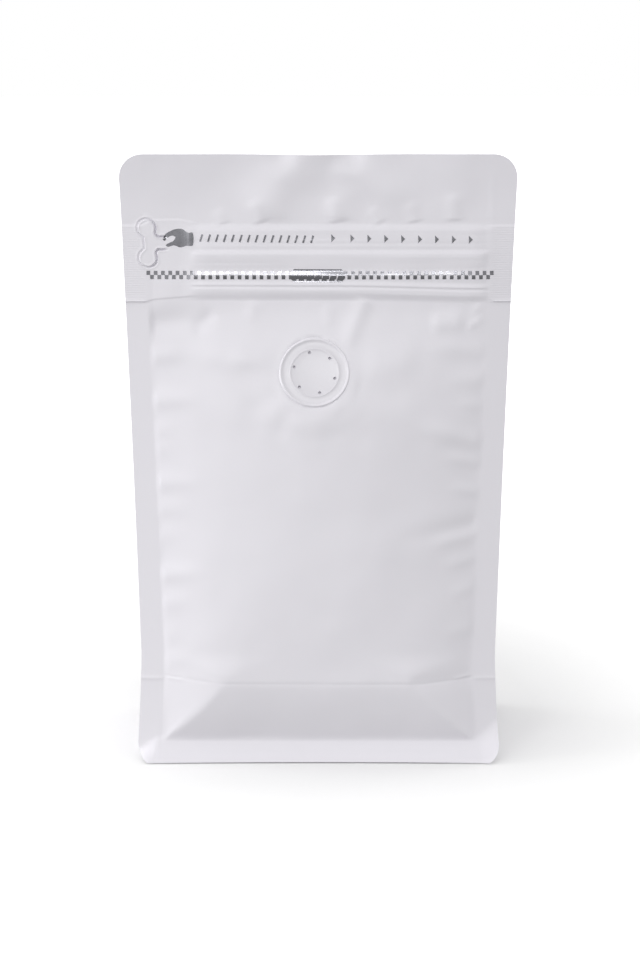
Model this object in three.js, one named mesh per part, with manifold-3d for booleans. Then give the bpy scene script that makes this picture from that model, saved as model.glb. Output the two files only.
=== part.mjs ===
// A shut flat-bottom coffee bag: a gusseted body between a front and a back panel of film.
// Millimetres, +Z up. The origin is the middle of the underside, and the front faces -Y.
import * as THREE from "three";
import { mergeGeometries, mergeVertices } from "three/addons/utils/BufferGeometryUtils.js";
import Module from "manifold-3d";

const wasm = await Module();
wasm.setup();

// Panel outline: seen from the front, widest at the mouth, with a waist above the foot
const HEIGHT = 195;
const HALF_TOP = 65.5;
const HALF_WAIST = 58;
const HALF_FOOT = 59.3;
const WAIST_Z = 34;
const FOOT_FLARE_POWER = 1.6;
const TOP_CORNER = 8;
const FOOT_CORNER = 5.5;

// Sealed margins of the panels: side fins, and the skirt below the bottom seam
const FIN = 7.5;
const FILM = 0.6;
const FIN_LEAN = 0.09;
const SEAL_PRESS = 0.1;
const SEAM_Z = 5.9;
const SKIRT_FLARE = 0.7;

// Depth from front to back
const HALF_DEPTH_FOOT = 33.5;
const HALF_DEPTH_TOP = 0.95;
const CLOSING_POWER = 1.4;
const GUSSET_EASE = 70;
const GUSSET_SWELL = 3;
const GUSSET_SWELL_TOP = 120;
const GUSSET_STEPS = 5;
const BASE_ROUND = 5;

// Front and back swelling, and the flat facets left by the folded bottom
const BELLY = 6.8;
const BELLY_FADE_LOW = 108;
const BELLY_FADE_HIGH = 156;
const BELLY_POWER_ACROSS = 2.5;
const MOUTH_SWELL = 0.5;
const FOLD_Z = 26.3;
const TUCK_RISE = 6;
const TUCK_POWER = 1.6;
const CORNER_SLOPE = 0.4;
const FOLD_BLEND = 32;
const CREASE_SOFTNESS = 0.5;

// Zip band on the front panel: a stepped strip with pressed beads along it
const BAND_LOW = 149.2;
const BAND_HIGH = 172.1;
const BAND_LEFT = -41.1;
const BAND_RIGHT = 55.2;
const BAND_PROUD = 0.7;
const BAND_EDGE = 1.6;
const BAND_END = 3;
const BEADS = [
  { z: 163, height: 0.4, reach: 1 },
  { z: 156.3, height: 0.9, reach: 1.3 },
  { z: 153, height: 0.3, reach: 0.7 },
];

// Pull tab: a line cut through the front film, open at the neck
const TAB_X = -56.5;
const TAB_Z = 167.1;
const TAB_LOBE = 3.1;
const TAB_LOBE_APART = 5.1;
const TAB_WAIST = 1.7;
const TAB_NECK_HALF = 2.2;
const TAB_NECK_END = 6;
const TAB_ARC_FROM = -1.1;
const TAB_ARC_TO = 3.7;
const TAB_ARC_STEPS = 10;
const TAB_CUT_WIDTH = 0.5;
const TAB_CUT_DEPTH = 0.35;

// One-way valve, welded flush into the front panel
const VALVE_X = -0.9;
const VALVE_Z = 125;
const VALVE_RADIUS = 11.7;
const VALVE_THICK = 2;
const RIM_HEIGHT = 0.7;
const RIM_WIDTH = 0.8;
const MOAT_HEIGHT = 0.1;
const FACE_RADIUS = 8.3;
const FACE_HEIGHT = 0.35;
const VALVE_FLAT = 13;
const VALVE_FADE = 24;
const VALVE_GAP = 0.3;
const PINHOLES = 6;
const PINHOLE_RADIUS = 0.5;
const PINHOLE_CIRCLE = 6.9;
const PINHOLE_TURN = 16;
const PINHOLE_DEPTH = 1;
const PINHOLE_SIDES = 12;
const ROUND_SIDES = 40;

const FILM_WHITE = new THREE.MeshStandardMaterial({ color: 0xe9e8ed, roughness: 0.55, metalness: 0 });
const VALVE_WHITE = new THREE.MeshStandardMaterial({ color: 0xe6e5ea, roughness: 0.45, metalness: 0 });

const ease = (t) => THREE.MathUtils.smoothstep(t, 0, 1);

// The lesser of two heights, rounded over where they cross.
function softMin(a, b, softness) {
  const h = Math.max(softness - Math.abs(a - b), 0) / softness;
  return Math.min(a, b) - (h * h * softness) / 4;
}

// Half the panel's width at height z, before its corners are rounded.
function halfWidth(z) {
  if (z < WAIST_Z) return HALF_WAIST + (HALF_FOOT - HALF_WAIST) * (1 - z / WAIST_Z) ** FOOT_FLARE_POWER;
  return THREE.MathUtils.lerp(HALF_WAIST, HALF_TOP, (z - WAIST_Z) / (HEIGHT - WAIST_Z));
}

// Half the width where the film ends: the same, with the corners cut round.
function halfEdge(z) {
  const intoTop = Math.max(z - (HEIGHT - TOP_CORNER), 0);
  const intoFoot = Math.max(FOOT_CORNER - z, 0);
  const cutTop = TOP_CORNER - Math.sqrt(TOP_CORNER ** 2 - intoTop ** 2);
  const cutFoot = FOOT_CORNER - Math.sqrt(FOOT_CORNER ** 2 - intoFoot ** 2);
  return halfWidth(z) - cutTop - cutFoot;
}

// Half the width between the fins' inner edges, and the same kept clear of the rounded corners.
const halfRoot = (z) => halfWidth(z) - FIN;
const sealRoot = (z) => Math.min(halfRoot(z), halfEdge(z) - FILM);

// Half the depth at the fins' inner edges: a wedge, full at the foot and pinched shut at the mouth.
function halfDepth(z) {
  return HALF_DEPTH_TOP + (HALF_DEPTH_FOOT - HALF_DEPTH_TOP) * (1 - z / HEIGHT) ** CLOSING_POWER;
}

// How far the swollen panel stands out from the fins' inner edges.
function swell(x, z) {
  const root = halfRoot(z);
  const inset = Math.max(root - Math.abs(x), 0);
  const aboveSeam = Math.min((z - SEAM_Z) / (FOLD_Z - SEAM_Z), 1);
  const tuck = TUCK_RISE * (1 - (1 - aboveSeam) ** TUCK_POWER);
  const facets = Math.max(softMin(tuck, CORNER_SLOPE * inset, CREASE_SOFTNESS), 0);
  const full = 1 - ease((z - BELLY_FADE_LOW) / (BELLY_FADE_HIGH - BELLY_FADE_LOW));
  const crown = Math.max(BELLY * full, MOUTH_SWELL);
  const belly = crown * (1 - Math.min(Math.abs(x) / root, 1) ** BELLY_POWER_ACROSS);
  return THREE.MathUtils.lerp(facets, belly, ease((z - FOLD_Z) / FOLD_BLEND));
}

// How far a plain panel's film stands out: the swollen middle inside a rim of fins and skirt.
function standOut(x, z) {
  const pastRoot = Math.abs(x) - halfRoot(z);
  const room = (halfDepth(z) - HALF_DEPTH_TOP) / 3;
  const lean = Math.min(FIN_LEAN * Math.max(pastRoot, 0), room);
  const rim = SKIRT_FLARE * Math.max(SEAM_Z - z, 0) - lean;
  return pastRoot < 0 && z > SEAM_Z ? swell(x, z) : rim;
}

// The zip band's step and beads on the front panel.
function bandRelief(x, z) {
  const along = ease((x - BAND_LEFT) / BAND_END + 0.5) * ease((BAND_RIGHT - x) / BAND_END + 0.5);
  const step = ease((z - BAND_LOW) / BAND_EDGE + 0.5) * ease((BAND_HIGH - z) / BAND_EDGE + 0.5);
  const beads = BEADS.reduce((sum, b) => sum + b.height * Math.exp(-(((z - b.z) / b.reach) ** 2)), 0);
  return along * (BAND_PROUD * step + beads);
}

const plainFront = (x, z) => -(halfDepth(z) + standOut(x, z) + bandRelief(x, z));

// The front film's y, flattened round the stiff valve.
const valveY = plainFront(VALVE_X, VALVE_Z);
const valveTopY = plainFront(VALVE_X, VALVE_Z + VALVE_FLAT / 2);
const valveFootY = plainFront(VALVE_X, VALVE_Z - VALVE_FLAT / 2);
const valveSlope = (valveTopY - valveFootY) / VALVE_FLAT;
function frontY(x, z) {
  const away = Math.hypot(x - VALVE_X, z - VALVE_Z);
  const loose = ease((away - VALVE_FLAT) / (VALVE_FADE - VALVE_FLAT));
  return THREE.MathUtils.lerp(valveY + valveSlope * (z - VALVE_Z), plainFront(x, z), loose);
}
const backY = (x, z) => halfDepth(z) + standOut(x, z);

// Evenly spaced values from a to b, without b.
const steps = (a, b, count) => Array.from({ length: count }, (_, i) => a + ((b - a) * i) / count);

// Heights of the rows of points: close together where the film bends sharply
const quarterTurn = (count) => [...steps(0, Math.PI / 2, count), Math.PI / 2];
const SKIRT_ROWS = quarterTurn(4).map((a) => SEAM_Z * (1 - Math.cos(a)));
const WALL_ROWS = [
  ...steps(SEAM_Z, FOLD_Z, 4),
  ...steps(FOLD_Z, BAND_LOW - BAND_EDGE, 15),
  ...steps(BAND_LOW - BAND_EDGE, BAND_HIGH + BAND_EDGE, 24),
  ...steps(BAND_HIGH + BAND_EDGE, HEIGHT - TOP_CORNER, 3),
  ...quarterTurn(5).map((a) => HEIGHT - TOP_CORNER * (1 - Math.sin(a))),
];

const FRONT = { side: -1, columns: 26, filmY: frontY };
const BACK = { side: 1, columns: 18, filmY: backY };
const OUTER = 0;
const INNER = 1;

// A panel's line at height z, from its left edge to its right one, on the film's outer or inner face.
// Each fin has one point between its edges, where the heat seal has pressed the film thinner.
function panelLine(panel, z, face) {
  const root = sealRoot(z);
  const edge = halfEdge(z);
  const pressed = (edge + root) / 2;
  const across = [-edge, -pressed, ...steps(-root, root, panel.columns), root, pressed, edge];
  return across.map((x) => {
    const inset = face === INNER ? FILM : 0;
    const press = Math.abs(x) === pressed ? SEAL_PRESS : 0;
    const y = panel.filmY(x, z) - panel.side * (inset + (face === INNER ? -press : press));
    return new THREE.Vector3(x, y, z);
  });
}
const filmLine = (panel, z) => panelLine(panel, z, OUTER);
const liningLine = (panel, z) => panelLine(panel, z, INNER);

// The right gusset's line at height z, from front to back: straight at the seam, where the bag is full,
// and folded further in as the bag closes.
function gussetLine(z) {
  const slack = Math.sqrt(Math.max(halfDepth(SEAM_Z) ** 2 - halfDepth(z) ** 2, 0));
  const foldIn = slack * ease((z - SEAM_Z) / GUSSET_EASE);
  const swollen = GUSSET_SWELL * Math.sin(Math.PI * Math.min(z / GUSSET_SWELL_TOP, 1));
  const between = steps(-1, 1, 2 * GUSSET_STEPS).slice(1);
  return between.map((t) => {
    const x = sealRoot(z) - foldIn * (1 - Math.abs(t)) + swollen * Math.sin(Math.PI * Math.abs(t));
    return new THREE.Vector3(x, t * (halfDepth(z) - FILM), z);
  });
}

// A line mirrored to the other side of the bag, and so run the other way.
const mirrored = (line) => line.map((p) => new THREE.Vector3(-p.x, p.y, p.z)).reverse();

// The whole bag's outline at height z: both panels, the inner faces of their fins, and the gussets.
function wallRing(z) {
  const frontLining = liningLine(FRONT, z);
  const backLining = liningLine(BACK, z);
  const gusset = gussetLine(z);
  return [
    ...filmLine(FRONT, z),
    ...frontLining.slice(-3).reverse(),
    ...gusset,
    ...backLining.slice(-3),
    ...filmLine(BACK, z).reverse(),
    ...backLining.slice(0, 3),
    ...mirrored(gusset),
    ...frontLining.slice(0, 3).reverse(),
  ];
}

// A skirt's outline at height z: one panel's film alone.
function skirtRing(panel, z) {
  const [near, far] = panel.side < 0 ? [filmLine, liningLine] : [liningLine, filmLine];
  return [...near(panel, z), ...far(panel, z).reverse()];
}

// The base's outline at height z, drawn in from the bottom seam as it rounds under.
function baseRing(z) {
  const drawnIn = BASE_ROUND * (1 - Math.sqrt(1 - (1 - z / SEAM_Z) ** 2));
  const gusset = gussetLine(SEAM_Z);
  const seam = [
    ...liningLine(FRONT, SEAM_Z).slice(2, -2),
    ...gusset,
    ...liningLine(BACK, SEAM_Z).slice(2, -2).reverse(),
    ...mirrored(gusset),
  ];
  const shrinkX = 1 - drawnIn / sealRoot(SEAM_Z);
  const shrinkY = 1 - drawnIn / halfDepth(SEAM_Z);
  return seam.map((p) => new THREE.Vector3(p.x * shrinkX, p.y * shrinkY, z));
}

// The triangles that close a level ring, and those that close a ring of four.
function closeLevel(ring) {
  const flat = ring.map((p) => new THREE.Vector2(p.x, p.y));
  return THREE.ShapeUtils.triangulateShape(flat, []);
}
const closeSquare = () => [
  [0, 1, 2],
  [0, 2, 3],
];

// A mesh through rings of points, with a lid on the ends for which a way to close them is given.
function loft(rings, closeFirst, closeLast) {
  const size = rings[0].length;
  const last = (rings.length - 1) * size;
  const faces = [];
  rings.slice(1).forEach((_, j) => {
    for (let i = 0; i < size; i++) {
      const a = j * size + i;
      const b = j * size + ((i + 1) % size);
      faces.push(a, b, b + size, a, b + size, a + size);
    }
  });
  closeFirst?.(rings[0]).forEach(([a, b, c]) => faces.push(a, c, b));
  closeLast?.(rings.at(-1)).forEach(([a, b, c]) => faces.push(last + a, last + b, last + c));
  return new THREE.BufferGeometry().setFromPoints(rings.flat()).setIndex(faces);
}

// The shut bag: walls that stand on two skirts and a base, all meeting at the bottom seam.
function filledBag() {
  return mergeGeometries([
    loft(WALL_ROWS.map(wallRing), null, closeLevel),
    ...[FRONT, BACK].map((panel) => loft(SKIRT_ROWS.map((z) => skirtRing(panel, z)), closeLevel, null)),
    loft(SKIRT_ROWS.map(baseRing), closeLevel, null),
  ]);
}

// The pull tab's cut: two round lobes joined by a waist, with a neck that stays whole.
function tabCut() {
  const lobe = (sign) => {
    const [from, to] = [sign * TAB_ARC_FROM, sign * TAB_ARC_TO];
    const arc = new THREE.EllipseCurve(TAB_X, sign * TAB_LOBE_APART, TAB_LOBE, TAB_LOBE, from, to, sign < 0);
    return arc.getPoints(TAB_ARC_STEPS);
  };
  const neck = (sign) => new THREE.Vector2(TAB_X + TAB_NECK_END, sign * TAB_NECK_HALF);
  const waist = new THREE.Vector2(TAB_X - TAB_WAIST, 0);
  const outline = [neck(1), ...lobe(1), waist, ...lobe(-1).reverse(), neck(-1)];
  const out = new THREE.Vector3(0, -TAB_CUT_DEPTH, 0);
  const rings = outline.map((p, i) => {
    const ahead = outline[Math.min(i + 1, outline.length - 1)];
    const behind = outline[Math.max(i - 1, 0)];
    const along = new THREE.Vector3(ahead.x - behind.x, 0, ahead.y - behind.y).normalize();
    const aside = along.cross(new THREE.Vector3(0, -TAB_CUT_WIDTH / 2, 0));
    const middle = new THREE.Vector3(p.x, frontY(p.x, TAB_Z + p.y), TAB_Z + p.y);
    const corner = (o, a) => middle.clone().addScaledVector(out, o).addScaledVector(aside, a);
    return [corner(-1, -1), corner(1, -1), corner(1, 1), corner(-1, 1)];
  });
  return loft(rings, closeSquare, closeSquare);
}

// The valve, turned about +Y with the film at y = 0: a low disc inside a raised, rounded rim.
function valveDisc() {
  const crest = VALVE_RADIUS - RIM_WIDTH;
  const rim = quarterTurn(3).map((a) => [crest + RIM_WIDTH * Math.cos(a), RIM_HEIGHT * Math.sin(a)]);
  const profile = [
    [0, -VALVE_THICK],
    [VALVE_RADIUS, -VALVE_THICK],
    ...rim,
    [crest - RIM_WIDTH, MOAT_HEIGHT],
    [FACE_RADIUS + FACE_HEIGHT, MOAT_HEIGHT],
    [FACE_RADIUS, FACE_HEIGHT],
    [0, FACE_HEIGHT],
  ];
  return new THREE.LatheGeometry(profile.map(([r, y]) => new THREE.Vector2(r, y)), ROUND_SIDES);
}

// A geometry with its shared corners merged, as a solid for joining and cutting.
function solid(geometry) {
  const bare = geometry.clone();
  bare.deleteAttribute("normal");
  bare.deleteAttribute("uv");
  const merged = mergeVertices(bare, 1e-4);
  return new wasm.Manifold(
    new wasm.Mesh({
      numProp: 3,
      vertProperties: merged.attributes.position.array,
      triVerts: new Uint32Array(merged.index.array),
    }),
  );
}

function geometryOf(manifold) {
  const mesh = manifold.getMesh();
  return new THREE.BufferGeometry()
    .setAttribute("position", new THREE.BufferAttribute(mesh.vertProperties, 3))
    .setIndex(new THREE.BufferAttribute(mesh.triVerts, 1));
}

// Where the valve sits: its face lies on the flattened film and its axis points out of the panel.
const valvePlace = new THREE.Matrix4().compose(
  new THREE.Vector3(VALVE_X, valveY, VALVE_Z),
  new THREE.Quaternion().setFromUnitVectors(
    new THREE.Vector3(0, 1, 0),
    new THREE.Vector3(0, -1, valveSlope).normalize(),
  ),
  new THREE.Vector3(1, 1, 1),
);

// The valve's seat in the front panel.
function valveSeat() {
  const radius = VALVE_RADIUS + VALVE_GAP;
  const depth = VALVE_THICK + VALVE_GAP;
  return new THREE.CylinderGeometry(radius, radius, 2 * depth, ROUND_SIDES).applyMatrix4(valvePlace);
}

// One pinhole of the ring in the valve's face.
function pinhole(degrees) {
  const a = THREE.MathUtils.degToRad(degrees);
  const bore = new THREE.CylinderGeometry(PINHOLE_RADIUS, PINHOLE_RADIUS, 2 * PINHOLE_DEPTH, PINHOLE_SIDES);
  return bore.translate(PINHOLE_CIRCLE * Math.cos(a), 0, PINHOLE_CIRCLE * Math.sin(a));
}

const bagSolid = solid(filledBag()).subtract(solid(valveSeat())).subtract(solid(tabCut()));
const pinholes = steps(PINHOLE_TURN, PINHOLE_TURN + 360, PINHOLES).map((turn) => solid(pinhole(turn)));
const valveSolid = pinholes.reduce((disc, hole) => disc.subtract(hole), solid(valveDisc()));

const bag = new THREE.Mesh(geometryOf(bagSolid), FILM_WHITE);
bag.name = "bag";

const valve = new THREE.Mesh(geometryOf(valveSolid), VALVE_WHITE);
valve.name = "valve";
valve.position.setFromMatrixPosition(valvePlace);
valve.quaternion.setFromRotationMatrix(valvePlace);

const coffeeBag = new THREE.Group();
coffeeBag.add(bag, valve);

export default coffeeBag;
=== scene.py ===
"""Dresses a packed coffee bag: its wrinkled film, its valve, its print and a small studio."""

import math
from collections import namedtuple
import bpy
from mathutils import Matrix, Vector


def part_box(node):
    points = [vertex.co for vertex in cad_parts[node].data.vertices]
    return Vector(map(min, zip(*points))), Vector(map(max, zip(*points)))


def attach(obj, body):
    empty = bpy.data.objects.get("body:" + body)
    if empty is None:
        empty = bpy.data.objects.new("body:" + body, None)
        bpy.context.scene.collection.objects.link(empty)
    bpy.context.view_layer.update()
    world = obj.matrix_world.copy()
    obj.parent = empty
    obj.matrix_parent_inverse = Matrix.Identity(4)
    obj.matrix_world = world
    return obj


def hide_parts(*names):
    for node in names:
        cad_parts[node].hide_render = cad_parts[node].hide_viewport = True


bl_info = {
    "name": "Flat-bottom coffee bag",
    "version": (1, 0, 0),
    "blender": (4, 5, 0),
    "location": "3D View > Sidebar > Coffee bag",
    "description": "Makes a shut flat-bottom coffee bag of matte white film in a small studio",
    "category": "Object",
}

from types import SimpleNamespace

import bmesh
import bpy
import numpy as np
from mathutils import Euler, Vector

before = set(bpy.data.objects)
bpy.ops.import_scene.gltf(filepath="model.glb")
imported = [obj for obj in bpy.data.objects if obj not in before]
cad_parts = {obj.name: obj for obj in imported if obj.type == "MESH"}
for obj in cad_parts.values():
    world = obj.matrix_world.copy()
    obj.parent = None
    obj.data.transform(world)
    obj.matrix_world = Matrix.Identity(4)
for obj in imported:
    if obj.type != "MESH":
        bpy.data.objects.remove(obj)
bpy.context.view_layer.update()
BAG_LOW, BAG_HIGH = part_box("bag")
VALVE_LOW, VALVE_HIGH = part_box("valve")
BAG_WIDTH = BAG_HIGH.x - BAG_LOW.x
VALVE_X = (VALVE_LOW.x + VALVE_HIGH.x) / 2

MM = 0.001
TINY = 1e-12
MERGE_DISTANCE = 1e-7
WHITE = (1.0, 1.0, 1.0, 1.0)
IMAGE_SIZE = (640, 960)

# Panel outline, in millimetres: the mouth's edge dips in its middle, and its rounded corners hide a
# little of its full width
MOUTH_SPARE = 0.5
CORNER_SPARE = 1.04
MOUTH_DIP = 0.3
MOUTH_DIP_WIDTH = 16.0
MOUTH_DIP_FADE = 20.0
WAIST_Z = 34.0
FOOT_FLARE_POWER = 1.6

# How far the left and the right fin lean for each millimetre outwards, and where they stand straight
FIN_LEAN = (0.1, 0.09)
LEAN_FADE = (145.0, 180.0)
FIN_EDGE = 1.5

# Skirt below the bottom seam: its flare, which is more at its ends and most at its left corner, how its
# fold line leans over the left and the right fin, and how softly it bends at its left edge, along the
# panel and at its right edge
SEAM_Z = 5.9
SEAM_ROUND = 0.06
SKIRT_FLARE = 0.75
SKIRT_LEFT_FLARE = 0.9
SKIRT_END_FLARE = 0.25
SKIRT_LEAN = (-0.7, 0.55)
SKIRT_EASE = 3.0
SKIRT_SOFT = (0.02, 2.2, 5.5)
SKIRT_CLEAR = 0.42

# Depth from front to back, and how the gussets fold in, swell and crumple
CLOSING_POWER = 1.4
MOUTH_CLOSES = (166.0, 188.0)
GUSSET_EASE = 70.0
GUSSET_SHUTS = (-4.0, -1.0)
GUSSET_GAP = 0.5
GUSSET_SWELL = 3.0
GUSSET_SWELL_TOP = 120.0
GUSSET_CREASE = 0.7
GUSSET_CREASE_WIDTH = 1.2
GUSSET_CREASE_RUN = 34.0
GUSSET_CREASE_EASE = 4.0
GUSSET_CREASE_ENDS = (32.0, 40.0)
GUSSET_DENTS = 1.6
GUSSET_DENTS_EASE = 8.0
GUSSET_DENTS_END = (140.0, 170.0)
GUSSET_DENTS_SHIFT = 50.0
GUSSET_DENTS_SEED = 4

# Base: its round edge, its hollow and the creases of its folds
BASE_ROUND = 5.0
BASE_MIDDLE = 0.02
BASE_LIFT = 0.5
BASE_LIFT_SHARE = 0.3
BASE_CREASE = 0.35
BASE_CREASE_WIDTH = 1.4
BASE_CREASE_SHARE = 0.15

# Front and back swelling, the fuller left side of the front, and the facets left by the folded bottom
BELLY_FADE = (108.0, 156.0)
BELLY_POWERS = (2.5, 2.0)
BELLY_POWER_RANGE = (45.0, 110.0)
MOUTH_SWELL = 0.5
SHOULDER = 0.9
SHOULDER_REACH = 19.0
SHOULDER_LOW = (10.0, 45.0)
SHOULDER_HIGH = (60.0, 125.0)
FOLD_Z = 26.3
TUCK_RISE = 5.8
TUCK_POWER = 1.35
TUCK_BOW = 0.75
CORNER_WIDTH = 20.5
FOLD_BLEND = 32.0
CREASE_SOFTNESS = 0.06
CREASE_FADE = 9.0
ROOT_ROUND = 0.9

# Zip band: how softly its edges step, the soft rise below it, how it sags to the right, its fine streaks,
# where the flap above it starts to bend, and the beads pressed along it with the reach of their flanks
BAND_EDGE_HIGH = 2.6
BAND_EDGE_LOW = 3.0
BAND_TAIL = 6.0
BAND_TAIL_RISE = 0.3
BAND_SAG = 1.0
BAND_SAG_REACH = (5.0, 55.0)
BAND_SAG_FADE = 4.0
BAND_END = 9.0
BEAD_END = 1.6
BEAD_ROUND = 0.12
STREAK_DEPTH = 0.045
STREAK_PITCH = 0.9
STREAK_STRETCH = 0.03
STREAK_CLEAR = 1.6
STREAK_SEED = 9
FLAP_EASE = 4.0
Bead = namedtuple("Bead", "z height up down")
BEADS = (
    Bead(163.0, 0.5, 1.2, 4.2),
    Bead(156.15, 0.22, 1.35, 1.35),
    Bead(153.1, 0.3, 1.0, 0.6),
    Bead(151.7, 0.28, 0.85, 2.6),
)

# The crest that is rubbed shiny
BURNISH = (156.15, 157.3)
BURNISH_EDGE = 0.3

# Sealed strip beside the zip: it steps out a little below a line that climbs over the tab, and the
# heat-seal bars leave fine ribs in it
SEAL_TOP = (
    (-66.0, 172.4), (-58.0, 172.4), (-54.0, 174.2), (-45.4, 174.3), (-41.0, 173.3), (-37.0, 172.2),
    (66.0, 172.4),
)
SEAL_LOW = ((-66.0, 147.3), (-57.0, 147.4), (-54.0, 148.3), (-41.0, 149.4), (56.0, 148.4), (58.5, 147.4))
SEAL_LEFT = -41.0
SEAL_RIGHT = 56.0
SEAL_EDGE = 0.4
SEAL_END = 2.0
SEAL_STEP = 0.2
RIB_PITCH = 0.75
RIB_HEIGHT = 0.05

# Pull tab: two lobes joined by a waist, with a neck that stays whole
TAB_X = -56.2
TAB_Z = 166.6
TAB_LEAN = -0.05
TAB_LOBE = 3.05
TAB_LOBE_APART = 4.85
TAB_WAIST = (-1.0, 1.7)
TAB_NECK = ((5.6, 2.1), (3.6, 2.1), (2.95, 2.75))
TAB_ARC = (-0.45, 3.7)
TAB_ARC_STEPS = 14
TAB_GROOVE = 0.3
TAB_GAPE = 0.75
TAB_GROOVE_HALF = 0.28
TAB_LIP = 0.14
TAB_LIP_OFFSET = 0.55
TAB_LIFT = 0.2

# How far the valve sits to the left of its solid, the flat that it keeps in the film, where the film is
# free again, and the seat that takes it
VALVE_NUDGE = 0.3
VALVE_FLAT = (11.0, 22.0)
VALVE_REACH = 8.5
VALVE_CLEAR = 11.6
VALVE_CLEAR_FADE = 3.5
SEAT_RADIUS = 9.0
SEAT_FADE = 2.0
SEAT_DEPTH = 2.6

# A fold in the film, from one place on the panel to another. Its height fades in over the share
# starts of its length and out over the share ends, and a crisp fold has a sharp crest.
FOLD_FIELDS = "x z to_x to_z height width crisp starts ends"
Fold = namedtuple("Fold", FOLD_FIELDS, defaults=(False, 0.25, 0.4))

# The flap above the zip bends as one sheet: a roof-shaped pair of ridges below the mouth's middle,
# and two places where the mouth's edge curls back
FLAP_FOLDS = (
    Fold(-6.5, 196.0, -20.8, 172.9, 1.05, 7.0, starts=0.0, ends=0.3),
    Fold(4.0, 194.0, 33.5, 176.5, 0.95, 5.0, starts=0.2, ends=0.4),
    Fold(0.3, 197.0, -1.0, 181.0, 0.5, 6.0, starts=0.0, ends=0.6),
    Fold(9.5, 188.0, 6.5, 172.9, 0.42, 5.0, starts=0.4, ends=0.2),
    Fold(-11.5, 198.0, -12.8, 188.0, -1.2, 4.0, starts=0.0, ends=0.9),
    Fold(10.0, 198.0, 12.5, 188.5, -1.7, 4.0, starts=0.0, ends=0.9),
    Fold(-67.0, 201.0, -24.0, 201.0, 1.7, 16.0, starts=0.0, ends=0.6),
    Fold(67.0, 201.0, 26.0, 201.0, 1.1, 16.0, starts=0.0, ends=0.6),
)

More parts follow.
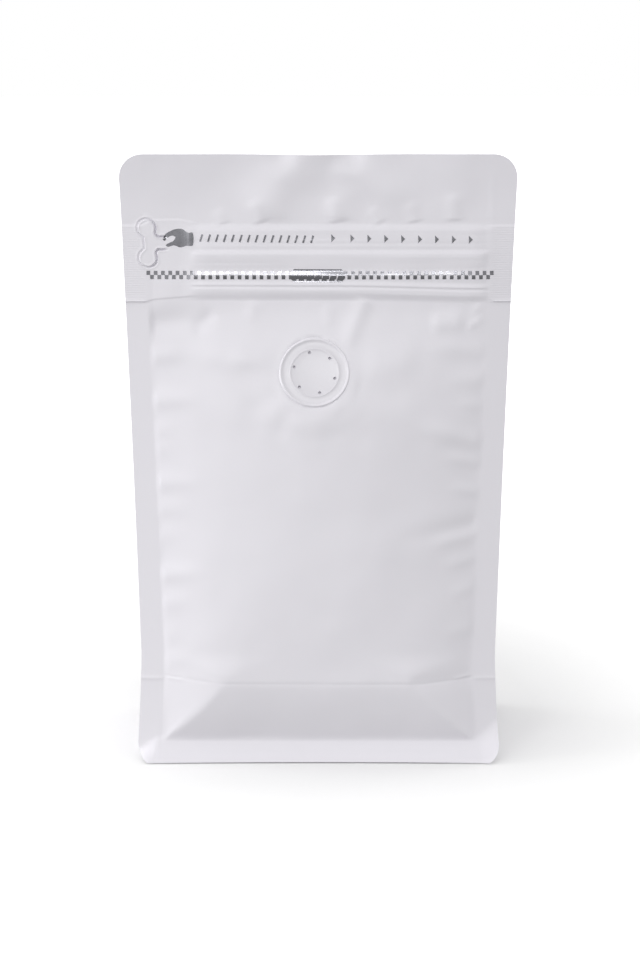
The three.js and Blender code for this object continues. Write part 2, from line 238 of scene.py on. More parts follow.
# The front film's own folds, by region
FRONT_FOLDS = (
    # Puckers where the flap meets the zip band
    Fold(-14.0, 186.5, -10.0, 189.0, 0.1, 0.7, crisp=True),
    Fold(-21.5, 181.0, -18.6, 172.9, 0.42, 2.4, ends=0.15),
    Fold(4.5, 182.0, 6.0, 172.9, 0.42, 2.6, ends=0.15),
    Fold(-33.0, 177.5, -31.0, 172.5, 0.25, 2.0, ends=0.2),
    Fold(17.0, 178.0, 20.5, 172.9, 0.28, 2.0, ends=0.15),
    Fold(30.0, 180.0, 31.8, 173.1, 0.36, 2.4, ends=0.15),
    Fold(44.0, 183.0, 44.6, 173.4, 0.36, 2.6, ends=0.15),
    # Shoulders below the band
    Fold(-20.2, 148.4, -23.0, 140.2, 0.3, 2.4),
    Fold(15.9, 149.4, 7.7, 129.9, 0.55, 2.6, starts=0.1),
    Fold(3.0, 147.3, 3.6, 138.1, 0.22, 2.0),
    Fold(-46.0, 133.0, -12.5, 127.2, 0.9, 4.6, starts=0.4, ends=0.5),
    Fold(-30.0, 130.4, -13.5, 127.6, 0.35, 2.4, starts=0.4, ends=0.6),
    Fold(-60.0, 140.6, -33.0, 141.4, -0.85, 3.6, starts=0.2, ends=0.5),
    Fold(-33.5, 145.0, -41.5, 137.0, -0.55, 2.4, starts=0.3, ends=0.3),
    Fold(36.0, 140.6, 49.0, 141.5, 0.6, 3.0, starts=0.3, ends=0.3),
    Fold(53.5, 131.5, 34.3, 133.5, 0.4, 3.0, starts=0.0, ends=0.5),
    Fold(49.0, 138.9, 54.2, 142.4, 0.42, 0.55, crisp=True, starts=0.2, ends=0.2),
    Fold(53.8, 147.0, 50.4, 143.2, 0.25, 0.8, starts=0.1),
    # Creases that run out from the valve
    Fold(6.6, 113.6, 18.3, 99.1, -0.22, 3.2, starts=0.1),
    Fold(-0.5, 112.0, 0.5, 97.0, 0.08, 2.6, starts=0.1),
    Fold(-8.1, 114.1, -15.2, 102.2, -0.25, 3.0, starts=0.1),
    Fold(-11.2, 118.7, -26.4, 111.0, -0.25, 3.4, starts=0.1),
    Fold(13.5, 127.9, 35.4, 129.0, 0.55, 5.0, starts=0.3),
    Fold(11.6, 120.2, 30.4, 115.7, -0.28, 4.2, starts=0.1),
    # Long ridges from the right fin
    Fold(53.3, 102.2, 28.4, 108.6, 0.55, 3.0, starts=0.0, ends=0.6),
    Fold(52.1, 122.4, 40.5, 122.9, 0.35, 2.6, starts=0.0, ends=0.7),
    Fold(52.2, 113.9, 43.5, 115.2, 0.25, 1.8, starts=0.0, ends=0.7),
    Fold(51.8, 95.7, 39.1, 97.9, 0.4, 2.0, starts=0.0, ends=0.6),
    Fold(51.8, 85.9, 41.7, 88.3, 0.38, 1.7, starts=0.0, ends=0.6),
    Fold(51.9, 75.4, 24.0, 70.6, -0.5, 3.2, starts=0.0, ends=0.6),
    Fold(51.4, 72.6, 35.0, 69.2, 0.42, 1.9, starts=0.0, ends=0.5),
    Fold(50.9, 64.6, 39.1, 62.3, 0.32, 1.8, starts=0.0, ends=0.6),
    Fold(50.7, 55.6, 41.5, 52.8, 0.25, 2.0, starts=0.0, ends=0.6),
    Fold(50.6, 42.5, 38.4, 40.2, 0.22, 2.4, starts=0.0, ends=0.6),
    # Creases of the folded bottom
    Fold(-51.5, 27.2, -44.3, 26.6, -0.22, 0.4, crisp=True, starts=0.0, ends=0.1),
    Fold(-44.3, 26.6, -32.0, 25.5, -0.12, 0.6, crisp=True, starts=0.1, ends=0.5),
    Fold(-33.0, 25.5, 34.7, 25.2, -0.12, 0.6, crisp=True, starts=0.02, ends=0.05),
    Fold(32.5, 25.1, 51.0, 26.3, -0.16, 0.4, crisp=True, starts=0.05, ends=0.0),
    Fold(43.8, 26.0, 50.4, 27.3, 0.26, 0.5, crisp=True, starts=0.2, ends=0.1),
    Fold(29.0, 25.3, 52.0, 26.4, -0.3, 2.6, starts=0.15, ends=0.0),
    Fold(-50.0, 26.4, -43.3, 25.8, 0.22, 0.5, crisp=True, starts=0.2, ends=0.3),
    Fold(-50.5, 6.2, -36.0, 22.2, 0.2, 0.6, crisp=True, starts=0.03, ends=0.6),
    Fold(49.5, 6.2, 34.6, 22.0, 0.2, 0.6, crisp=True, starts=0.03, ends=0.6),
)

# Creases in the fins and the skirt: at the foot's corners, and beside the flap
RIM_FOLDS = (
    Fold(-51.6, 6.0, -58.6, 1.6, 0.2, 0.6, crisp=True, starts=0.1, ends=0.3),
    Fold(-53.0, 4.6, -54.4, 0.3, 0.12, 0.6, crisp=True, starts=0.1, ends=0.2),
    Fold(51.6, 6.0, 58.2, 2.0, 0.12, 0.6, crisp=True, starts=0.1, ends=0.4),
    Fold(57.1, 173.5, 57.5, 193.0, 0.1, 0.5, crisp=True, starts=0.1, ends=0.4),
)

# Puckers that start at a fin's inner edge: height on the panel, reach, height of the pucker
Pucker = namedtuple("Pucker", "z reach height")
LEFT_PUCKERS = (
    Pucker(130.0, 18.0, 0.5),
    Pucker(115.5, 20.0, 0.55),
    Pucker(106.0, 11.0, 0.36),
    Pucker(99.6, 9.0, 0.34),
    Pucker(88.9, 19.0, 0.5),
    Pucker(80.5, 14.0, 0.42),
    Pucker(71.8, 9.0, 0.3),
    Pucker(59.6, 19.0, 0.6),
    Pucker(50.3, 12.0, 0.42),
    Pucker(39.7, 9.0, 0.3),
    Pucker(32.4, 13.0, 0.36),
)
BACK_PUCKERS = (
    Pucker(140.0, 14.0, 0.4),
    Pucker(127.0, 18.0, 0.5),
    Pucker(112.0, 11.0, 0.35),
    Pucker(98.0, 20.0, 0.5),
    Pucker(83.0, 12.0, 0.36),
    Pucker(69.0, 17.0, 0.45),
    Pucker(52.0, 12.0, 0.36),
    Pucker(38.0, 14.0, 0.36),
)
PUCKER_WIDTH = 2.8
PUCKER_RISE = 0.06
PUCKER_END = 0.8
BACK_STAGGER = 6.0

# How far from the fins the folds of the front and of the back reach their full height
FRONT_FADE = 2.6
BACK_FADE = 1.2

# Creases across the fins, where the band and the folded bottom end
FIN_CREASES = (147.8, 26.0)
FIN_CREASE_HEIGHT = 0.22
FIN_CREASE_WIDTH = 0.45

# Soft crumple all over: size of a dent, its depth, and the turn of the lattice it is drawn on
Crumple = namedtuple("Crumple", "cell depth turn")
CRUMPLES = (
    Crumple(17.0, 0.24, 0.5),
    Crumple(8.5, 0.1, 1.1),
    Crumple(4.6, 0.03, 0.8),
)
LATTICE_CELLS = 64

# Rows and columns of the film's mesh, close together where the film bends sharply, and the angle in
# degrees from which an edge is sharp
ROWS_TUCK = 30
ROWS_FOLD = 18
ROWS_BELLY = 100
FOLD_ROWS = (23.5, 28.9)
ROWS_BAND = 112
ROWS_FLAP = 10
ROWS_CORNER = 12
ROWS_SKIRT = 8
BAND_ROWS = (147.0, 175.5)
LEFT_FIN_COLUMNS = 26
TAB_COLUMNS = 20
TAB_SHARE = 0.1
FRONT_COLUMNS = 116
RIGHT_FIN_COLUMNS = 12
PLAIN_COLUMNS = 56
LINING_COLUMNS = 5
GUSSET_COLUMNS = 12
BASE_RINGS = 9
FILM_SHARP = 48

# Valve profile, in millimetres from its axis and above the film, from the sunk edge to the middle
VALVE_PROFILE = (
    (12.4, -0.4),
    (11.85, -0.12),
    (11.65, -0.04),
    (11.52, 0.05),
    (11.4, 0.19),
    (11.27, 0.29),
    (11.13, 0.33),
    (10.98, 0.31),
    (10.82, 0.23),
    (10.63, 0.1),
    (10.45, 0.0),
    (10.25, -0.05),
    (9.9, -0.07),
    (9.3, -0.07),
    (8.5, -0.06),
    (8.3, -0.01),
    (8.12, 0.06),
    (7.97, 0.08),
    (7.82, 0.04),
    (7.62, -0.04),
    (7.2, -0.1),
    (5.0, -0.25),
    (2.5, -0.34),
)

# The valve's middle, its underside, the greyer dish inside its ring and the pinholes in it
VALVE_MIDDLE = -0.37
VALVE_UNDER = -2.2
VALVE_AXIS = 0.01
VALVE_SIDES = 120
VALVE_SHARP = 60
VALVE_DISH = 10.6
VALVE_DISH_EDGE = 0.5
VALVE_DISH_SHADE = 0.93
PINHOLES = 6
PINHOLE_CIRCLE = 6.9
PINHOLE_TURN = math.radians(-16.0)
PINHOLE_DEPTH = 1.2
PINHOLE_SIDES = 20

# Print on the zip band, in millimetres on the panel
INK_THICK = 0.12
LOZENGE_THICK = 1.3 * INK_THICK
SLIT_DEPTH = 4 * INK_THICK
CHECKER_LEFT = -55.8
CHECKER_Z = 156.95
CHECKER_CELLS = 95
LOZENGE_PLACE = (-0.2, 156.15)
LOZENGE_CUT = 1.2
SLITS = 6
SLIT_PITCH = 2.5
SLIT_SIZE = (0.8, 2.9)
SLIT_DROP = -0.35
ARROWS = 9
ARROW_RIGHT = 49.85
ARROW_PITCH = 5.55
ARROW_EXTRA_GAP = 0.75
MARKS_Z = 168.3
MARKS_DROP = -0.011
BARS = 15
BARS_LEFT = -38.4
BAR_PITCH = 2.6
BAR_SLANT = math.radians(18.0)

# Points along the sides of a printed block, where the rays that find the film start, in metres, and what
# the tree of every mark is given
TILE_GRID = (3, 2, 5)
BAR_GRID = (3, 2, 7)
LOZENGE_GRID = (40, 2, 17)
RAY_START = -0.2
LAY_INK = "Lay ink on film"
INK_SOCKETS = (("Film", "Object"), ("Ink", "Material"))

# A pinching hand, on a grid of millimetres: back of the hand, finger, thumb and wrist
HAND_PLACE = (-51.0, 168.3)
HAND_OUTLINE = (
    (10.0, 1.5), (8.3, 1.6), (6.6, 2.7), (4.6, 2.8), (2.6, 2.2), (0.9, 1.2), (0.0, -0.2), (0.6, -0.9),
    (1.5, 0.0), (2.9, 0.7), (4.2, 0.3), (3.5, -0.9), (2.1, -1.5), (1.0, -2.2), (1.8, -2.7),
    (3.8, -2.3), (5.8, -2.9), (8.0, -2.4), (10.0, -2.2),
)
HAND_SCALE = (0.99, 1.05)
HAND_STEPS = 4
HAND_SPACING = 0.9
HAND_SPLITS = 3

# Finishes: size of the mottle in millimetres, darkest share of the colour, roughness and fine relief
FILM_MOTTLE = 14.0
FILM_SHADE = 0.975
FILM_ROUGH = (0.43, 0.53)
BURNISH_ROUGH = 0.16
FILM_GRAIN = 0.55
FILM_GRAIN_DEPTH = 0.02
FILM_GRAIN_STRENGTH = 0.35
FILM_IOR = 1.5
VALVE_WAVE = 3.0
VALVE_SHADE = 0.97
VALVE_WAVE_DEPTH = 0.08
VALVE_WAVE_STRENGTH = 0.4
VALVE_ROUGH = 0.3
VALVE_IOR = 1.51
INK_FLAKE = 0.8
INK_SHADE = 0.93
INK_ROUGH = (0.19, 0.22)
PAPER_FIBRE = 1.5
PAPER_TONES = ("F4F4F4", "F7F7F7")
PAPER_ROUGH = 0.9
PAPER_SHEEN = 0.1

# Camera and studio, in metres and degrees
CAMERA_TARGET = (0.00059, 0.0, 0.08725)
CAMERA_DISTANCE = 0.8
CAMERA_ELEVATION = 9.5
FOCAL_PIXELS = 2388.0
SENSOR = 36.0
FLOOR_HALF = 30.0
# Painted glow of the floor: none within the near reach and full at the far reach, measured from a shifted and
# stretched centre beside the bag
FLOOR_GLOW_REACH = (0.07, 0.47)
FLOOR_GLOW_SHIFT = (-0.018, -0.034, 0.0)
FLOOR_GLOW_SCALE = (1.15, 0.8, 1.0)
HORIZON = 0.25

# Soft lights: where each one stands, and its width and height
Softbox = namedtuple("Softbox", "place size")
SOFTBOXES = {
    "key": Softbox((-1.39, 0.0, 0.285), (1.1, 0.7)),
    "fill": Softbox((-0.69, -1.2, 0.285), (0.7, 0.7)),
    "rim": Softbox((1.2, 0.69, 0.285), (0.7, 0.7)),
    "strip": Softbox((-0.235, -0.968, 0.662), (0.75, 0.09)),
}


def linear(hex_colour):
    """An sRGB colour such as "E9E8ED" as linear red, green and blue."""
    shares = [int(hex_colour[i : i + 2], 16) / 255.0 for i in (0, 2, 4)]
    return [s / 12.92 if s <= 0.04045 else ((s + 0.055) / 1.055) ** 2.4 for s in shares]


def add(tree, kind, inputs=None, **settings):
    """Adds a node with its settings, and sets its inputs or links them to a socket or a node's first one."""
    node = tree.nodes.new(kind)
    for name, value in settings.items():
        setattr(node, name, value)
    for name, value in (inputs or {}).items():
        if isinstance(value, bpy.types.Node):
            value = value.outputs[0]
        if isinstance(value, bpy.types.NodeSocket):
            tree.links.new(value, node.inputs[name])
        else:
            node.inputs[name].default_value = value
    return node


def in_mm(group):
    """The lengths of a property group, in millimetres."""
    return SimpleNamespace(**{name: getattr(group, name) / MM for name in group.__annotations__})


def length(name, description, size):
    """A length property whose default is given in millimetres."""
    return bpy.props.FloatProperty(
        name=name, description=description, default=size * MM, unit="LENGTH", precision=5
    )


def colour(name, description, hex_colour):
    """A colour property whose default is an sRGB hex value."""
    return bpy.props.FloatVectorProperty(
        name=name, description=description, default=linear(hex_colour), subtype="COLOR", min=0.0, max=1.0
    )


def power(name, description, watts):
    """A light's power, in watts."""
    return bpy.props.FloatProperty(name=name, description=description, default=watts, min=0.0, unit="POWER")


def strength(name, description, value):
    """A plain strength."""
    return bpy.props.FloatProperty(
        name=name, description=description, default=value, min=0.0, subtype="FACTOR"
    )


class BagSizes(bpy.types.PropertyGroup):
    """Sizes of the film bag."""

    height: length("Height", "From the floor to the mouth", BAG_HIGH.z / MM + MOUTH_SPARE)
    mouth_width: length("Mouth width", "Full width at the mouth", BAG_WIDTH / MM + CORNER_SPARE)
    waist_width: length("Waist width", "Width where the bag is narrowest", 116.0)
    foot_width: length("Foot width", "Width at the floor", 118.6)
    depth: length("Depth", "From the front panel to the back one at the floor", 67.0)
    mouth_depth: length("Mouth depth", "Thickness of the pressed mouth", 1.3)
    belly: length("Belly", "How far the filled panels swell", 6.8)
    fin: length("Fin", "Width of the sealed side margins", 7.0)
    film: length("Film", "Thickness of the welded films", 0.45)
    mouth_corner: length("Mouth corner", "Radius of the corners at the mouth", 8.0)
    foot_corner: length("Foot corner", "Radius of the corners at the floor", 6.0)


class BandSizes(bpy.types.PropertyGroup):
    """Sizes of the zip band."""

    low: length("Low edge", "Height of the band's lower edge", 149.3)
    high: length("High edge", "Height of the band's upper edge", 171.8)
    left: length("Left end", "Where the raised strip starts", -41.1)
    right: length("Right end", "Where the raised strip ends", 55.2)
    proud: length("Proud", "How far the strip stands out", 0.6)


class ValveSizes(bpy.types.PropertyGroup):
    """Sizes of the one-way valve."""

    across: length("Across", "Place of the valve's axis across the panel", VALVE_X / MM - VALVE_NUDGE)
    up: length("Up", "Height of the valve's axis", 125.05)
    pinhole: length("Pinhole", "Radius of a pinhole", 0.52)


class PrintSizes(bpy.types.PropertyGroup):
    """Sizes of the printed marks."""

    cell_width: length("Cell width", "Width of a cell of the checker strip", 1.2)
    cell_height: length("Cell height", "Height of a cell of the checker strip", 1.35)
    lozenge_width: length("Lozenge width", "Width of the field in the checker strip", 18.0)
    lozenge_height: length("Lozenge height", "Height of the field in the checker strip", 4.2)
    arrow_width: length("Arrow width", "From a triangle's back to its tip", 1.3)
    arrow_height: length("Arrow height", "Height of a triangle's back", 2.25)
    bar_width: length("Bar width", "Thickness of a slanted bar", 0.6)
    bar_height: length("Bar height", "Height of a slanted bar", 2.5)


class Finish(bpy.types.PropertyGroup):
    """Colours of the bag."""

    film: colour("Film", "Matte white laminate", "E7E5EB")
    valve: colour("Valve", "Moulded valve under the film", "E6E4EA")
    ink: colour("Ink", "Metallic grey ink", "88888D")


class Studio(bpy.types.PropertyGroup):
    """Light round the bag."""

    key: power("Key", "Soft light on the left", 11.6)
    fill: power("Fill", "Low soft light in front, on the left", 2.2)
    rim: power("Rim", "Low soft light behind, on the right", 5.7)
    strip: power("Strip", "Strip light above the camera", 2.2)
    sky: strength("Sky", "Light from above the horizon", 0.788)
    ground: strength("Ground", "Light from below the horizon", 0.295)
    floor_glow: strength("Floor glow", "Own light of the white floor away from the bag", 1.0)


class CoffeeBag(bpy.types.PropertyGroup):
    """Everything that a user would change."""

    bag: bpy.props.PointerProperty(name="Bag", type=BagSizes)
    band: bpy.props.PointerProperty(name="Zip band", type=BandSizes)
    valve: bpy.props.PointerProperty(name="Valve", type=ValveSizes)
    marks: bpy.props.PointerProperty(name="Print", type=PrintSizes)
    finish: bpy.props.PointerProperty(name="Finish", type=Finish)
    studio: bpy.props.PointerProperty(name="Studio", type=Studio)
    wrinkles: strength("Wrinkles", "How deep the film's folds are", 1.0)
    seed: bpy.props.IntProperty(name="Seed", description="Start of the soft crumple", default=7)


def spaced(a, b, count):
    """Evenly spaced values from a to b, without b."""
    return np.linspace(a, b, count, endpoint=False)


def ease(t):
    """A smooth step from 0 to 1."""
    t = np.clip(t, 0.0, 1.0)
    return t * t * (3.0 - 2.0 * t)


def ramp(value, start, end):
    """A smooth rise from 0 at start to 1 at end."""
    return ease((value - start) / (end - start))


def between(value, low, high, low_edge, high_edge=None):
    """1 between low and high and 0 outside them, with soft edges of the given widths."""
    return ease((value - low) / low_edge + 0.5) * ease((high - value) / (high_edge or low_edge) + 0.5)


def rounded(rise, radius):
    """A rise whose start is rounded off."""
    return np.hypot(rise, radius) - radius


def soft_min(a, b, softness):
    """The lesser of two heights, rounded over where they cross."""
    h = np.maximum(softness - np.abs(a - b), 0.0) / softness
    return np.minimum(a, b) - h * h * softness / 4.0


def fold_height(f, x, z):
    """Height of one fold over the panel."""
    run = math.hypot(f.to_x - f.x, f.to_z - f.z)
    ax, az = (f.to_x - f.x) / run, (f.to_z - f.z) / run
    along = ((x - f.x) * ax + (z - f.z) * az) / run
    off = np.abs((z - f.z) * ax - (x - f.x) * az) / f.width
    crest = np.exp(-off) if f.crisp else np.exp(-off * off)
    fade_in = ease(along / f.starts) if f.starts else 1.0
    fade_out = ease((1.0 - along) / f.ends) if f.ends else (along <= 1.0)
    return f.height * crest * fade_in * fade_out


def bead_height(bead, z):
    """Height of a bead with straight flanks and a rounded crest."""
    off = np.where(z > bead.z, (z - bead.z) / bead.up, (bead.z - z) / bead.down)
    return bead.height * np.maximum(1 - np.sqrt(off * off + BEAD_ROUND**2) + BEAD_ROUND, 0.0)


def fold_heights(folds, x, z):
    """Height of several folds over the panel."""
    return sum(fold_height(f, x, z) for f in folds)


def lattice_noise(x, z, cell, turn, seed):
    """Smooth dents, from -1 to 1, about a cell across."""
    knots = np.random.default_rng(seed).uniform(-1.0, 1.0, (LATTICE_CELLS, LATTICE_CELLS))
    u = (x * math.cos(turn) - z * math.sin(turn)) / cell
    v = (x * math.sin(turn) + z * math.cos(turn)) / cell
    column, row = np.floor(u).astype(int), np.floor(v).astype(int)
    s, t = ease(u - column), ease(v - row)
    left, right = column % LATTICE_CELLS, (column + 1) % LATTICE_CELLS
    low, high = row % LATTICE_CELLS, (row + 1) % LATTICE_CELLS
    below = knots[low, left] * (1 - s) + knots[low, right] * s
    above = knots[high, left] * (1 - s) + knots[high, right] * s
    return below * (1 - t) + above * t


def tab_outline():
    """The line cut round the pull tab, from one side of its neck to the other."""
    turn = np.linspace(*TAB_ARC, TAB_ARC_STEPS)
    lobe = np.column_stack([TAB_LOBE * np.cos(turn), TAB_LOBE_APART + TAB_LOBE * np.sin(turn)])
    half = np.vstack([TAB_NECK, lobe, TAB_WAIST])
    line = np.vstack([half, (half * (1.0, -1.0))[::-1]])
    return line + np.column_stack([TAB_X + TAB_LEAN * line[:, 1], np.full(len(line), TAB_Z)])


def tab_relief(x, z):
    """The tab's cut line with its raised lip, and the tab lifted a little inside it."""
    relief = np.zeros_like(x)
    neck_end = TAB_NECK[0][0]
    reach = TAB_LOBE + TAB_LOBE_APART + neck_end
    near = np.hypot(x - TAB_X, z - TAB_Z) < reach
    px, pz = x[near], z[near]
    line = tab_outline()
    gap = np.full(px.shape, np.inf)
    inside = np.zeros(px.shape, bool)
    for (ax, az), (bx, bz) in zip(line, np.roll(line, -1, axis=0)):
        level = (az > pz) != (bz > pz)
        inside ^= level & (px < (bx - ax) * (pz - az) / (bz - az + TINY) + ax)
    for (ax, az), (bx, bz) in zip(line[:-1], line[1:]):
        run = (bx - ax) ** 2 + (bz - az) ** 2
        t = np.clip(((px - ax) * (bx - ax) + (pz - az) * (bz - az)) / run, 0.0, 1.0)
        gap = np.minimum(gap, np.hypot(px - ax - t * (bx - ax), pz - az - t * (bz - az)))
    gape = TAB_GROOVE + TAB_GAPE * ease((px - TAB_X) / TAB_LOBE)
    groove = gape * np.exp(-((gap / TAB_GROOVE_HALF) ** 2))
    lip = TAB_LIP * np.exp(-(((gap - TAB_LIP_OFFSET) / TAB_GROOVE_HALF) ** 2))
    lifted = inside * TAB_LIFT * ease(gap / TAB_LIP_OFFSET) * ease((TAB_X + neck_end - px) / neck_end)
    relief[near] = lip - groove + lifted
    return relief


class Film:
    """The bag's film: where each panel lies, in millimetres."""

    def __init__(self, settings):
        """Takes the sizes over, and finds how the film lies round the valve."""
        self.bag = in_mm(settings.bag)
        self.band = in_mm(settings.band)
        self.valve = in_mm(settings.valve)
        self.wrinkles = settings.wrinkles
        self.seed = settings.seed
        turn = spaced(0.0, 2 * np.pi, VALVE_SIDES)
        across, up = VALVE_REACH * np.cos(turn), VALVE_REACH * np.sin(turn)
        around = self.plain_front(self.valve.across + across, self.valve.up + up)
        self.valve_y = float(around.mean())
        self.valve_slope = float(2 * (around * up).mean() / VALVE_REACH**2)

    def half_width(self, z):
        """Half the panel's width, before its corners are rounded."""
        waist = self.bag.waist_width / 2
        below = (self.bag.foot_width / 2 - waist) * np.maximum(1 - z / WAIST_Z, 0.0) ** FOOT_FLARE_POWER
        up = np.maximum(z - WAIST_Z, 0.0) / (self.bag.height - WAIST_Z)
        return waist + below + (self.bag.mouth_width / 2 - waist) * up

    def half_edge(self, z):
        """Half the width where the film ends."""
        top, foot = self.bag.mouth_corner, self.bag.foot_corner
        into_top = np.clip(z - (self.bag.height - top), 0.0, top)
        into_foot = np.clip(foot - z, 0.0, foot)
        cut = top - np.sqrt(top**2 - into_top**2) + foot - np.sqrt(foot**2 - into_foot**2)
        return self.half_width(z) - cut

    def half_root(self, z):
        """Half the width between the fins' inner edges."""
        return self.half_width(z) - self.bag.fin

    def seal_root(self, z):
        """The same, kept clear of the rounded corners."""
        return np.minimum(self.half_root(z), self.half_edge(z) - self.bag.film)

    def half_depth(self, z):
        """Half the depth at the fins' inner edges: full at the foot, pressed shut at the mouth."""
        foot, mouth = self.bag.depth / 2, self.bag.mouth_depth / 2
        return mouth + (foot - mouth) * np.clip(1 - z / self.bag.height, 0.0, 1.0) ** CLOSING_POWER

    def swell(self, x, z):
        """How far a panel stands out from the fins' inner edges."""
        root = self.half_root(z)
        inset = rounded(np.maximum(root - np.abs(x), 0.0), ROOT_ROUND)
        up = np.clip((z - SEAM_Z) / (FOLD_Z - SEAM_Z), 0.0, 1.0)
        up = rounded(up, SEAM_ROUND) / rounded(1.0, SEAM_ROUND)
        softness = CREASE_SOFTNESS + (1 - CREASE_SOFTNESS) * ease((z - FOLD_Z) / CREASE_FADE)
        mitre = np.clip(soft_min(up**TUCK_BOW, inset / CORNER_WIDTH, softness), 0.0, 1.0)
        facets = TUCK_RISE * (1 - (1 - mitre) ** TUCK_POWER)
        crown = np.maximum(self.bag.belly * (1 - ramp(z, *BELLY_FADE)), MOUTH_SWELL)
        crown = crown * (1 - ramp(z, *MOUTH_CLOSES))
        low, high = BELLY_POWERS
        belly = crown * (1 - (1 - inset / root) ** (low + (high - low) * ramp(z, *BELLY_POWER_RANGE)))
        blend = ease((z - FOLD_Z) / FOLD_BLEND)
        return facets * (1 - blend) + belly * blend

    def stand_out(self, x, z):
        """How far a plain panel stands out: the swollen middle in a rim of fins and skirt."""
        root = self.half_root(z)
        past_root = np.abs(x) - root
        on_fin = np.maximum(past_root, 0.0)
        outer = ease(on_fin / self.bag.fin)
        left = x < 0
        seam = SEAM_Z + on_fin**2 / (on_fin + SKIRT_EASE) * np.where(left, *SKIRT_LEAN)
        left_soft, panel_soft, right_soft = SKIRT_SOFT
        soft = panel_soft + (np.where(left, left_soft, right_soft) - panel_soft) * outer
        flare = SKIRT_FLARE * (1 + SKIRT_END_FLARE * np.minimum(np.abs(x) / root, 1.0) ** 2)
        flare = flare * (1 + SKIRT_LEFT_FLARE * outer * left)
        skirt = -flare * soft_min(z - seam, 0.0, soft)
        left_lean = FIN_LEAN[0] * np.clip(1 - z / LEAN_FADE[0], 0.0, 1.0)
        lean = np.where(left, left_lean, FIN_LEAN[1] * (1 - ramp(z, *LEAN_FADE)))
        on_panel = (past_root < 0) & (z > SEAM_Z)
        return skirt + np.where(on_panel, self.swell(x, z), -lean * on_fin)

    def band_relief(self, x, z):
        """The zip band's step, which fades at its ends, the soft rise below it, and its beads."""
        band = self.band
        z = z + BAND_SAG * ramp(x, *BAND_SAG_REACH) * ease((CHECKER_Z - z) / BAND_SAG_FADE)
        step = between(z, band.low, band.high, BAND_EDGE_LOW, BAND_EDGE_HIGH)
        step = step * between(x, band.left, band.right, BAND_END)
        tail = BAND_TAIL_RISE * ease((z - band.low) / BAND_TAIL + 1.0) * (1 - ramp(z, band.low, band.high))
        tail = tail * self.on_panel(x, z, BAND_END)
        beads = sum(bead_height(b, z) for b in BEADS) * between(x, band.left, band.right, BEAD_END)
        streaks = lattice_noise(x * STREAK_STRETCH, z, STREAK_PITCH, 0.0, self.seed + STREAK_SEED)
        streaks = STREAK_DEPTH * streaks * ease(np.abs(z - CHECKER_Z) / STREAK_CLEAR - 1.0)
        return (band.proud + streaks) * step + tail + beads

    def shoulder(self, x, z):
        """The front lies a little fuller on the left, and falls away slowly to the right."""
        root = self.half_root(z)
        across = ease((root + x) / SHOULDER_REACH) * np.clip((root - x) / (2 * root), 0.0, 1.0)
        return SHOULDER * across * ramp(z, *SHOULDER_LOW) * (1 - ramp(z, *SHOULDER_HIGH))

    def burnish(self, x, z):
        """1 on the zip's crest, where the matte varnish is rubbed shiny, and 0 elsewhere."""
        ends = ease((x - self.band.left) / BEAD_END) * ease((self.band.right - x) / BEAD_END)
        return between(z, *BURNISH, BURNISH_EDGE) * ends

    def plain_front(self, x, z):
        """The front panel without its wrinkles."""
        proud = self.stand_out(x, z) + self.shoulder(x, z) + self.band_relief(x, z)
        return -(self.half_depth(z) + proud)

    def on_panel(self, x, z, fade):
        """1 on the swollen panel, and 0 on its fins and skirt."""
        return ease((self.half_root(z) - np.abs(x)) / fade) * ease((z - SEAM_Z) / fade)

    def puckers(self, x, z, list_of, side):
        """Puckers along one fin's inner edge."""
        ridges = []
        for p in list_of:
            root = float(self.half_root(np.array(p.z)))
            line = (side * root, p.z, side * (root - p.reach), p.z + PUCKER_RISE * p.reach)
            ridges.append(Fold(*line, p.height, PUCKER_WIDTH, starts=0.0, ends=PUCKER_END))
        return fold_heights(ridges, x, z)

    def crumple(self, x, z, first_seed):
        """Soft dents all over."""
        layers = enumerate(CRUMPLES)
        return sum(c.depth * lattice_noise(x, z, c.cell, c.turn, first_seed + i) for i, c in layers)

    def fin_relief(self, x, z):
        """The ribbed seal beside the zip, and cross creases on the fins."""
        on_fin = ease((np.abs(x) - self.half_root(z)) / FIN_EDGE + 0.5)
        creases = sum(np.exp(-np.abs(z - at) / FIN_CREASE_WIDTH) for at in FIN_CREASES)
        low, top = (np.interp(x, *np.transpose(line)) for line in (SEAL_LOW, SEAL_TOP))
        sealed = between(z, low, top, SEAL_EDGE) * (1 - between(x, SEAL_LEFT, SEAL_RIGHT, SEAL_END))
        ribs = RIB_HEIGHT * np.cos(2 * np.pi * z / RIB_PITCH)
        return on_fin * FIN_CREASE_HEIGHT * creases + sealed * (SEAL_STEP + ribs * on_fin)

    def front(self, x, z):
        """The front film's y, flattened round the stiff valve and drawn in behind it."""
        away = np.hypot(x - self.valve.across, z - self.valve.up)
        loose = ramp(away, *VALVE_FLAT)
        flat = self.valve_y + self.valve_slope * (z - self.valve.up)
        plain = flat * (1 - loose) + self.plain_front(x, z) * loose
        folds = fold_heights(FRONT_FOLDS, x, z) + self.puckers(x, z, LEFT_PUCKERS, -1)
        folds = folds + self.crumple(x, z, self.seed)
        free = ease((away - VALVE_CLEAR) / VALVE_CLEAR_FADE) * self.on_panel(x, z, FRONT_FADE)
        rim = fold_heights(RIM_FOLDS, x, z)
        relief = self.wrinkles * (folds * free + rim) + self.fin_relief(x, z) + tab_relief(x, z)
        seat = SEAT_DEPTH * (1 - ease((away - SEAT_RADIUS) / SEAT_FADE))
        return plain - relief + seat + self.flap_bend(x, z)

    def back(self, x, z):
        """The back film's y."""
        folds = self.puckers(x, z, BACK_PUCKERS, 1) + self.puckers(x, z + BACK_STAGGER, BACK_PUCKERS, -1)
        folds = folds + self.crumple(x, z, self.seed + len(CRUMPLES))
        relief = self.wrinkles * folds * self.on_panel(x, z, BACK_FADE) + self.fin_relief(x, z)
        return self.half_depth(z) + self.stand_out(x, z) + relief + self.flap_bend(x, z)

